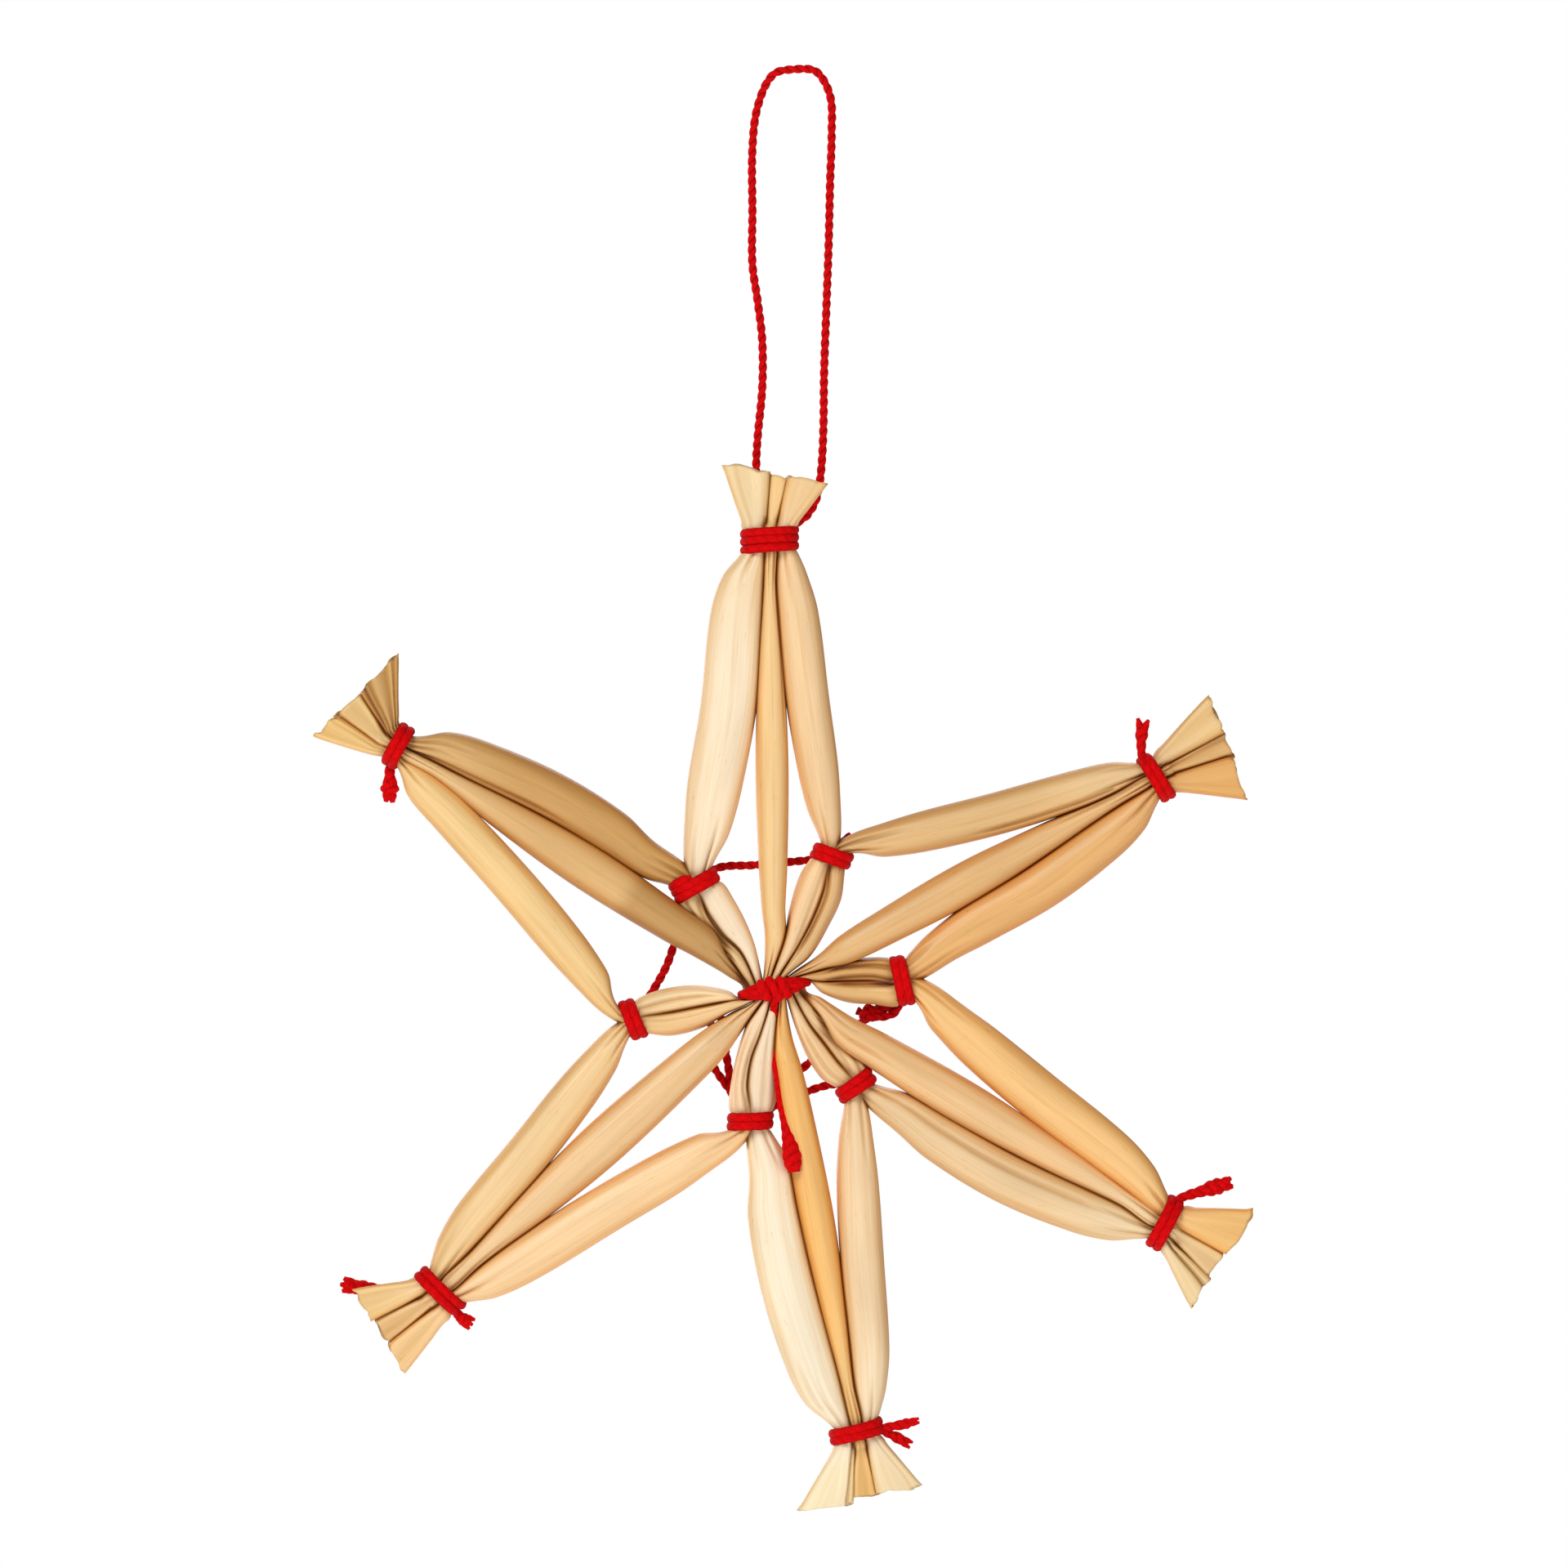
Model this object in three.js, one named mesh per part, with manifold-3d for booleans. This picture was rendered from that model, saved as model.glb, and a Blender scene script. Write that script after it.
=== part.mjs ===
// A six-pointed star of nine natural straws, tied with red thread and hung by a thread loop.
// Millimetres, +Z up. The star lies in the XZ plane and its front faces -Y.
// The origin is the place inside the top of the loop where a twig or hook carries it.
import * as THREE from 'three';
import { mergeVertices } from 'three/addons/utils/BufferGeometryUtils.js';
import Module from 'manifold-3d';

const wasm = await Module();
wasm.setup();

// ---------------------------------------------------------------- driving dimensions

const starCentre = new THREE.Vector3(-1.4, 0, -60.6);
const thread = 0.56; // thickness of the red thread
const clearance = 0.04; // between a straw and its neighbour, and between a straw and a tie

// The six sectors, clockwise from the upper left point, with headings in degrees clockwise from up.
// point: heading and reach of the tie near the tip, the width of that tie, and the fringe beyond it,
//   as its half widths and lengths on the anticlockwise side (before) and the clockwise side (after).
// waist: the inner tie on the clockwise side of the point. It holds two straws: one turns back to
//   this point and one goes on to the next. tilt turns the tie clockwise.
// widths: of the straw in the middle of the point and of the two straws that leave the waist.
// roots: headings at which the middle straw and the two straws of the waist leave the centre.
const sectors = [
  {
    point: { heading: -57.2, reach: 29.6, tie: 3.1, before: [2.5, 5.1], after: [5.2, 3.2] },
    waist: { heading: -37.2, reach: 8.7, tie: 3.3, tilt: 12 },
    widths: [3.0, 3.1, 3.8],
    roots: [-63, -45, -27],
  },
  {
    point: { heading: -0.6, reach: 29.7, tie: 3.9, before: [3.1, 5.1], after: [3.9, 3.6] },
    waist: { heading: 23.5, reach: 9.6, tie: 2.7, tilt: 0 },
    widths: [2.2, 2.9, 2.8],
    roots: [-4, 14, 30.5],
  },
  {
    point: { heading: 61.1, reach: 28.9, tie: 3.5, before: [3.1, 5.5], after: [4.2, 4.7] },
    waist: { heading: 86.5, reach: 8.5, tie: 3.3, tilt: -6 },
    widths: [2.7, 3.1, 3.3],
    roots: [48, 64, 79],
  },
  {
    point: { heading: 121, reach: 30.1, tie: 3.8, before: [3.8, 4.6], after: [3.9, 4.3] },
    waist: { heading: 140, reach: 8.4, tie: 2.8, tilt: 10 },
    widths: [2.9, 3.3, 2.9],
    roots: [112, 130, 147],
  },
  {
    point: { heading: 169.5, reach: 29.8, tie: 3.7, before: [3.6, 4.3], after: [4.8, 4.0] },
    waist: { heading: 190.3, reach: 8.9, tie: 3.0, tilt: -8 },
    widths: [2.3, 3.6, 3.2],
    roots: [163, 179, 196],
  },
  {
    point: { heading: 227.9, reach: 29.8, tie: 3.9, before: [2.5, 5.4], after: [3.9, 4.1] },
    waist: { heading: 257.7, reach: 9.6, tie: 2.7, tilt: -5 },
    widths: [3.1, 3.0, 2.9],
    roots: [216, 235, 252],
  },
];

// The tie at the centre, across all nine straws.
const centreTie = { tilt: 8, slotPitch: 0.45, halfLength: 2.53, halfDepth: 1.75, height: 1.5 };

// Sizes along a straw.
const rootReach = 3.2; // where the straws have just left the centre tie
const bellyDepth = 2.5; // front to back, halfway between two ties
const pinchDepth = 1.8; // front to back, inside a tie
const fringeDepth = 1.3;
const tipTieHeight = 1.7;
const waistTieHeight = 1.35;
const strawSides = 10;
const tubeSides = 6;
const tailSides = 5;
const tailSteps = 2;
const spanBehind = 1.62; // how far behind the star the binding thread runs

// The loose ends of the six tip ties, in the order of the sectors: beyond the tie, aside and behind.
const looseEnds = [
  [[[-0.2, -1.2, 0.4], [-0.9, -2.6, 0.4], [-1.4, -3.6, 0.3]]],
  [],
  [[[-0.2, -1.4, 0], [0.4, -2.7, 0], [1.5, -4.0, 0]]],
  [[[0, -1.6, 0], [1.2, -3.2, 0], [2.8, -4.8, 0]]],
  [[[0.2, -1.6, 0], [0.5, -3.0, 0], [0.9, -4.1, 0]], [[0.2, -1.6, 0.3], [0.9, -2.6, 0.4], [1.5, -3.3, 0.4]]],
  [[[0.3, 1.6, 1.1], [2.2, 3.3, 1.5], [4.6, 4.7, 0.9]], [[0.2, -1.7, 0], [0.2, -2.5, 0], [0.1, -3.2, 0]]],
];

// Runs of the binding thread, by the waists at their ends and how far inward they bow.
const bindingRuns = [
  [0, 1, 0],
  [0, 5, 0.5],
  [5, 4, 1.2],
  [5, 4, 0.2],
  [4, 3, 0.3],
  [2, 4, 0],
];

// The loop's route, from behind the upper tie, up, over and down again.
const loopRoute = [
  [-2.4, 1.5, -29.5],
  [-2.6, 1.4, -26.0],
  [-2.5, 0.8, -24.0],
  [-2.2, 0.2, -20.8],
  [-2.2, 0, -17.7],
  [-2.5, 0, -15.1],
  [-2.85, 0, -12.6],
  [-2.85, 0, -9.2],
  [-2.85, 0, -5.0],
  [-2.5, 0, -2.2],
  [-1.5, 0, -0.1],
  [0, 0, thread / 2],
  [1.4, 0, 0.1],
  [2.3, 0, -1.5],
  [2.4, 0, -3.9],
  [2.3, 0, -7.1],
  [2.2, 0, -11.3],
  [2.05, 0, -15.5],
  [1.9, 0.2, -19.8],
  [1.85, 0.8, -23.6],
  [1.7, 1.35, -26.3],
  [1.4, 1.5, -28.1],
  [0.8, 1.5, -29.2],
  [0.15, 1.5, -29.7],
];
const loopSteps = 40;

// ---------------------------------------------------------------- helpers

const radians = THREE.MathUtils.degToRad;
const ease = (t) => THREE.MathUtils.smoothstep(t, 0, 1);

// A unit vector in the plane of the star, clockwise from up as seen from the front.
function heading(degrees) {
  return new THREE.Vector3(Math.sin(radians(degrees)), 0, Math.cos(radians(degrees)));
}

// A point at a distance along a heading, and at a distance to the clockwise side of it.
function at(degrees, along, aside = 0, back = 0) {
  const place = heading(degrees).multiplyScalar(along);
  place.addScaledVector(heading(degrees + 90), aside);
  place.y = back;
  return place;
}

function closed(geometry) {
  geometry.deleteAttribute('normal');
  geometry.deleteAttribute('uv');
  return mergeVertices(geometry, 1e-4);
}

// A solid with an oval section at each ring: a cylinder with one row of vertices for each of them.
// A ring has its centre, the direction across it, its width, its depth along Y and its crease,
// the share of the depth by which its front and back are folded in.
function loft(rings, sides) {
  const rows = rings.length - 1;
  const solid = new THREE.CylinderGeometry(1, 1, rows, sides, rows);
  const place = solid.getAttribute('position');
  for (let i = 0; i < place.count; i += 1) {
    const ring = rings[Math.round(place.getY(i) + rows / 2)];
    const fold = 1 - ring.crease * Math.abs(place.getZ(i)) ** 8;
    const point = ring.centre.clone();
    point.addScaledVector(ring.across, (place.getX(i) * ring.width) / 2);
    point.y -= (place.getZ(i) * fold * ring.depth) / 2;
    place.setXYZ(i, point.x, point.y, point.z);
  }
  return closed(solid);
}

// Rings along a list of stations. The route is a smooth curve through the stations, and the sizes
// ease from each station to the next, in the number of steps that the station states.
function ringsAlong(stations) {
  const route = new THREE.CatmullRomCurve3(stations.map((station) => station.place));
  const last = stations.length - 1;
  const ringAt = (index, t) => {
    const from = stations[index];
    const to = stations[Math.min(index + 1, last)];
    const size = (key) => THREE.MathUtils.lerp(from[key], to[key], ease(t));
    return {
      centre: route.getPoint((index + t) / last),
      across: from.across.clone().lerp(to.across, ease(t)).normalize(),
      width: size('width'),
      depth: size('depth'),
      crease: size('crease'),
    };
  };
  const rings = [];
  for (let index = 0; index < last; index += 1) {
    const steps = stations[index].steps;
    for (let step = 0; step < steps; step += 1) {
      rings.push(ringAt(index, step / steps));
    }
  }
  rings.push(ringAt(last, 0));
  return rings;
}

// A plain round tube along a route of points.
function tube(points, thickness, sides, steps) {
  const outline = new THREE.Shape();
  for (let side = 0; side < sides; side += 1) {
    const turn = (2 * Math.PI * side) / sides;
    const corner = [(Math.cos(turn) * thickness) / 2, (Math.sin(turn) * thickness) / 2];
    if (side === 0) outline.moveTo(...corner);
    else outline.lineTo(...corner);
  }
  const extrudePath = new THREE.CatmullRomCurve3(points);
  return closed(new THREE.ExtrudeGeometry(outline, { steps, extrudePath, bevelEnabled: false }));
}

// The joined shape of several closed solids that overlap.
function joined(solids) {
  const parts = solids.map((solid) => new wasm.Manifold(new wasm.Mesh({
    numProp: 3,
    vertProperties: solid.getAttribute('position').array,
    triVerts: Uint32Array.from(solid.getIndex().array),
  })));
  const mesh = parts.reduce((whole, part) => whole.add(part)).getMesh();
  const geometry = new THREE.BufferGeometry();
  geometry.setAttribute('position', new THREE.BufferAttribute(mesh.vertProperties, 3));
  geometry.setIndex(new THREE.BufferAttribute(mesh.triVerts, 1));
  return geometry;
}

// Turns of thread wound side by side round an oval bundle. The bundle's axis is Y, its width lies
// along X and its depth along Z. endHeight is the share of the height kept at the two narrow ends.
function winding({ halfWidth, halfDepth, height, turns, endHeight = 1, segments }) {
  const inside = 10; // a radius to bend from, which the oval replaces
  const profile = [new THREE.Vector2(inside, -height / 2), new THREE.Vector2(inside, height / 2)];
  const pitch = height / turns;
  profile.push(new THREE.Vector2(inside + thread * 0.75, height / 2 - pitch * 0.12));
  for (let turn = 0; turn < turns; turn += 1) {
    if (turn > 0) profile.push(new THREE.Vector2(inside + thread * 0.65, height / 2 - turn * pitch));
    profile.push(new THREE.Vector2(inside + thread, height / 2 - (turn + 0.5) * pitch));
  }
  profile.push(new THREE.Vector2(inside + thread * 0.75, pitch * 0.12 - height / 2));
  profile.push(profile[0].clone());
  const ring = closed(new THREE.LatheGeometry(profile.reverse(), segments));
  const place = ring.getAttribute('position');
  for (let i = 0; i < place.count; i += 1) {
    const turn = Math.atan2(place.getZ(i), place.getX(i));
    const outward = Math.hypot(place.getX(i), place.getZ(i)) - inside;
    const normal = new THREE.Vector2(Math.cos(turn) * halfDepth, Math.sin(turn) * halfWidth).normalize();
    const share = THREE.MathUtils.lerp(1, endHeight, Math.abs(Math.cos(turn)));
    place.setXYZ(
      i,
      Math.cos(turn) * halfWidth + normal.x * outward,
      place.getY(i) * share,
      Math.sin(turn) * halfDepth + normal.y * outward,
    );
  }
  return ring;
}

// Stands a winding, made about Y, across a bundle that runs along a heading in the star's plane.
function acrossBundle(geometry, degrees, place) {
  geometry.rotateX(Math.PI / 2);
  geometry.rotateY(radians(degrees));
  geometry.translate(place.x, place.y, place.z);
  return geometry;
}

// ---------------------------------------------------------------- straws

// The middle of a slot under the centre tie. Slots are counted from 0 at the left.
function slotPlace(slot, above) {
  const tieHeading = 90 - centreTie.tilt;
  return at(tieHeading, (slot - 4) * centreTie.slotPitch, -above);
}

// How deep a straw can be in its slot, inside the oval of the centre tie.
function slotDepth(slot) {
  const halfLength = centreTie.halfLength - thread;
  const halfDepth = centreTie.halfDepth - thread;
  const edge = (Math.abs(slot - 4) + 0.36) * centreTie.slotPitch;
  return 2 * halfDepth * Math.sqrt(1 - (edge / halfLength) ** 2) - 2 * clearance;
}

// How wide a half straw is where it leaves the centre: as wide as its nearer neighbour allows.
function fanWidth(root) {
  const roots = sectors.flatMap((sector) => sector.roots);
  const order = roots.indexOf(root);
  const gaps = [roots.at(order - 1), roots[(order + 1) % roots.length]].map((neighbour) => {
    const turn = Math.abs(neighbour - root);
    return Math.min(turn, 360 - turn);
  });
  return radians(Math.min(...gaps, 20)) * rootReach * 0.88;
}

// Stations from the centre tie to where the straws have just fanned out.
function innerStations(slot, direction, root) {
  const across = heading(90 - centreTie.tilt).multiplyScalar(direction);
  const width = centreTie.slotPitch - clearance;
  const depth = slotDepth(slot);
  return [
    { place: slotPlace(slot, 0), across, width, depth, crease: 0.1, steps: 1 },
    { place: slotPlace(slot, 0.46 * direction), across, width, depth, crease: 0.1, steps: 2 },
    {
      place: at(root, rootReach),
      across: heading(root + 90),
      width: fanWidth(root),
      depth: 1.9,
      crease: 0.15,
      steps: 1,
    },
  ];
}

// Stations in the tie near a tip and in the fringe beyond it. lane is -1, 0 or 1, clockwise.
function tipStations(point, lane) {
  const pitch = (point.tie - 2 * thread) / 3;
  const across = heading(point.heading + 90);
  const inTie = (along) => ({
    place: at(point.heading, point.reach + along, lane * pitch),
    across,
    width: pitch - clearance,
    depth: lane === 0 ? pinchDepth + 0.3 : pinchDepth,
    crease: 0.12,
    steps: 1,
  });
  const [halfBefore, lengthBefore] = point.before;
  const [halfAfter, lengthAfter] = point.after;
  const cutStart = at(point.heading, point.reach + lengthBefore, -halfBefore);
  const cutEnd = at(point.heading, point.reach + lengthAfter, halfAfter);
  const fringeWidth = (halfBefore + halfAfter) / 3;
  const end = {
    place: cutStart.clone().lerp(cutEnd, (lane + 1.5) / 3),
    across: cutEnd.clone().sub(cutStart).normalize(),
    width: fringeWidth - clearance,
    depth: fringeDepth,
    crease: 0.4,
    steps: 1,
  };
  const halfway = {
    place: at(point.heading, point.reach + 0.9 + tipTieHeight / 2, lane * (pitch + 0.28)),
    across,
    width: pitch + 0.2,
    depth: pinchDepth - 0.1,
    crease: 0.25,
    steps: 2,
  };
  return [inTie(-tipTieHeight / 2), inTie(tipTieHeight / 2), halfway, end];
}

// The width of a point's middle straw at a distance from the centre.
function middleWidth(sector, reach) {
  const { point, widths } = sector;
  const fromTie = Math.max(point.reach - reach - 2, 0);
  return 0.5 + (widths[0] - 0.5) * ease(Math.min(fromTie / 12, 1));
}

// A half straw that runs straight from the centre to the middle of a point.
function middleHalf(slot, direction, sector) {
  const { point, roots } = sector;
  const across = heading(point.heading + 90);
  const station = (reach, width, depth, back, steps) => ({
    place: at(point.heading, reach, 0, back), across, width, depth, crease: 0, steps,
  });
  return [
    ...innerStations(slot, direction, roots[0]),
    station(7.5, middleWidth(sector, 7.5) * 0.76, bellyDepth * 0.85, -0.65, 2),
    station(14.5, middleWidth(sector, 14.5), bellyDepth, -0.15, 2),
    station(point.reach - 8, middleWidth(sector, point.reach - 8), bellyDepth * 0.9, 0.15, 2),
    station(point.reach - 3.2, middleWidth(sector, point.reach - 3.2), bellyDepth * 0.8, 0.1, 2),
    ...tipStations(point, 0),
  ];
}

// A half straw that passes through a waist and then turns out to a point beside it.
// side is -1 for the straw on the anticlockwise side of the waist and 1 for the other.
function outerHalf(slot, direction, sector, target, side) {
  const { waist, roots, widths } = sector;
  const { point } = target;
  const lane = -side;
  const width = widths[side < 0 ? 1 : 2];
  const root = roots[side < 0 ? 1 : 2];
  const pitch = (waist.tie - 2 * thread) / 2;
  const tieAcross = heading(waist.heading + waist.tilt + 90);
  const waistCentre = at(waist.heading, waist.reach);
  const inTie = (along) => ({
    place: at(waist.heading + waist.tilt, along, (side * pitch) / 2).add(waistCentre),
    across: tieAcross,
    width: pitch - clearance,
    depth: pinchDepth,
    crease: 0.15,
    steps: 1,
  });
  const bundle = {
    place: at(waist.heading, waist.reach * 0.62, side * 0.74, 0.45),
    across: heading(waist.heading + 90),
    width: 1.42,
    depth: 2,
    crease: 0.15,
    steps: 1,
  };
  // Beyond the waist the straw runs straight to its lane, but never into the middle straw.
  const start = inTie(waistTieHeight / 2).place;
  const end = at(point.heading, point.reach, (lane * (point.tie - 2 * thread)) / 3);
  const clockwise = heading(point.heading + 90);
  const outward = heading(point.heading);
  const straightAcross = heading(THREE.MathUtils.radToDeg(Math.atan2(end.x - start.x, end.z - start.z)) + 90);
  const beyond = (share, fullness, depth, steps) => {
    const place = start.clone().lerp(end, share);
    const along = place.dot(outward);
    const girth = width * fullness;
    const room = middleWidth(target, along) / 2 + girth / 2 + clearance;
    const aside = Math.max(Math.abs(place.dot(clockwise)), room);
    const middle = at(point.heading, along, lane * aside);
    return { place: middle, across: straightAcross, width: girth, depth, crease: 0, steps };
  };
  return [
    ...innerStations(slot, direction, root),
    bundle,
    inTie(-waistTieHeight / 2),
    { ...inTie(waistTieHeight / 2), steps: 2 },
    beyond(0.15, 0.84, bellyDepth * 0.92, 1),
    beyond(0.45, 1, bellyDepth, 2),
    beyond(0.86, 0.76, bellyDepth * 0.92, 2),
    ...tipStations(point, lane),
  ];
}

// The eighteen half straws, clockwise from the middle of the upper left point.
// The first nine leave the centre tie upwards from left to right, the others downwards from right to left.
function halfStraws() {
  const halves = [];
  sectors.forEach((sector, index) => {
    const next = sectors[(index + 1) % sectors.length];
    const first = index * 3;
    const seat = (order) => {
      const upper = order < 9;
      return [upper ? order : 17 - order, upper ? 1 : -1];
    };
    halves.push(middleHalf(...seat(first), sector));
    halves.push(outerHalf(...seat(first + 1), sector, sector, -1));
    halves.push(outerHalf(...seat(first + 2), sector, next, 1));
  });
  return halves;
}

// A whole straw: its lower half, from the fringe to the centre, and then its upper half.
function straw(upper, lower) {
  const inward = ringsAlong(lower).reverse();
  inward.forEach((ring) => ring.across.negate());
  return loft([...inward, ...ringsAlong(upper).slice(1)], strawSides);
}

// ---------------------------------------------------------------- thread

// A loose end of thread by its points: the distance beyond the tie, aside of it and behind it.
function looseEnd(point, stops) {
  const place = ([beyond, aside, behind]) => at(point.heading, point.reach + beyond, aside, behind);
  return tube(stops.map(place), thread, tailSides, tailSteps);
}

// A tie round the three straws of a point, with the loose ends of its thread.
function tipTie(point, ends) {
  const ring = winding({
    halfWidth: point.tie / 2 - thread + 3 * clearance,
    halfDepth: pinchDepth / 2 + 0.3,
    height: tipTieHeight,
    turns: 2,
    segments: 12,
  });
  acrossBundle(ring, point.heading, at(point.heading, point.reach));
  return joined([ring, ...ends.map((stops) => looseEnd(point, stops))]);
}

// One thread that winds round all six waists and runs behind the straws from waist to waist.
function bindingThread() {
  const wound = sectors.map(({ waist }) => {
    const ring = winding({
      halfWidth: waist.tie / 2 - thread + 3 * clearance,
      halfDepth: pinchDepth / 2 + 0.25,
      height: waistTieHeight,
      turns: 2,
      segments: 10,
    });
    return acrossBundle(ring, waist.heading + waist.tilt, at(waist.heading, waist.reach));
  });
  const runs = bindingRuns.map(([from, to, inward]) => {
    const stops = [from, to].map((index) => sectors[index].waist);
    const ends = stops.map((waist) => at(waist.heading, waist.reach - 0.25, 0, spanBehind));
    const middle = ends[0].clone().add(ends[1]).multiplyScalar(0.5);
    middle.addScaledVector(new THREE.Vector3(middle.x, 0, middle.z).normalize(), -inward);
    return tube([ends[0], middle, ends[1]], thread, tubeSides, 2);
  });
  return joined([...wound, ...runs]);
}

// The tie across the middle, highest halfway, with its loose end hanging down in front.
function middleTie() {
  const ring = winding({
    halfWidth: centreTie.halfLength - thread,
    halfDepth: centreTie.halfDepth - thread,
    height: centreTie.height,
    turns: 2,
    endHeight: 0.3,
    segments: 18,
  });
  acrossBundle(ring, -centreTie.tilt, new THREE.Vector3());
  const front = thread / 2 - centreTie.halfDepth;
  const drop = [[0.2, front, -0.4], [0.4, front - 0.1, -4], [0.5, front, -8], [1.2, front, -12.3]];
  return joined([ring, tube(drop.map((stop) => new THREE.Vector3(...stop)), thread, tubeSides, 6)]);
}

// ---------------------------------------------------------------- assembly

const strawColours = [
  0xe3c48a, 0xe9d2a0, 0xf0dfba,
  0xdfbd80, 0xead3a2, 0xe6c68c,
  0xe4c184, 0xe8cd98, 0xe2bd7c,
];
const red = 0xc8101a;
const star = new THREE.Group();
star.position.copy(starCentre);

function add(parent, name, geometry, color, roughness) {
  const mesh = new THREE.Mesh(geometry, new THREE.MeshStandardMaterial({ color, roughness, metalness: 0 }));
  mesh.name = name;
  parent.add(mesh);
}

const halves = halfStraws();
for (let i = 0; i < 9; i += 1) {
  add(star, `straw_${i + 1}`, straw(halves[i], halves[17 - i]), strawColours[i], 0.55);
}

sectors.forEach(({ point }, index) => {
  add(star, `tip_tie_${index + 1}`, tipTie(point, looseEnds[index]), red, 0.85);
});
add(star, 'binding_thread', bindingThread(), red, 0.85);
add(star, 'centre_tie', middleTie(), red, 0.85);

const group = new THREE.Group();
group.add(star);
const loopPoints = loopRoute.map((stop) => new THREE.Vector3(...stop));
add(group, 'hanging_loop', tube(loopPoints, thread, 8, loopSteps), red, 0.85);

export default group;
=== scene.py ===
"""A six-pointed star of nine natural straws, tied with red thread and hung by a thread loop.

Places are worked out in millimetres, with the star's centre as their origin, and the meshes are
made in metres.
"""

import math
import random

import bmesh
import bpy
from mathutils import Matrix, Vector, kdtree, noise


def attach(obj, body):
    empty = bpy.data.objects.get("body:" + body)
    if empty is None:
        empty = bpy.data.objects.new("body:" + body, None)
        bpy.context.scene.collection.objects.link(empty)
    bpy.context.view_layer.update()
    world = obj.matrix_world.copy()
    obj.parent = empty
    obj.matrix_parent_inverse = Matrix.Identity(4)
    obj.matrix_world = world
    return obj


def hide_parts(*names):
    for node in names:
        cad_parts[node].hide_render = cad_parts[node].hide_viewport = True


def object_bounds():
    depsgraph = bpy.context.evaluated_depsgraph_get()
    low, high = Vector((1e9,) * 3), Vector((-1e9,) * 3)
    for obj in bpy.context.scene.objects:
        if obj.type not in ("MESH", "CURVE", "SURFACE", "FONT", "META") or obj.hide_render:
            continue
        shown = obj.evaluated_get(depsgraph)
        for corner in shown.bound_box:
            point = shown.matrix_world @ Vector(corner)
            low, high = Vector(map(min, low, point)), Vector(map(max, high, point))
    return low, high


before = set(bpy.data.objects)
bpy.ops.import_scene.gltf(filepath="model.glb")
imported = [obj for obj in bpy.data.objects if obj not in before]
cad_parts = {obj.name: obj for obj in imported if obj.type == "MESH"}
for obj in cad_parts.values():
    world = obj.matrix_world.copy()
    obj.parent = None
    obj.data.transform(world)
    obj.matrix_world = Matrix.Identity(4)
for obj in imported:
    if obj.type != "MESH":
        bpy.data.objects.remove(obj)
cad_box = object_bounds()

MM = 0.001
STAR_CENTRE = Vector((-1.4, 0, -60.6))
FRONT = Vector((0, -1, 0))
BACK = Vector((0, 1, 0))

# ---------------------------------------------------------------- the star's layout

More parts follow.
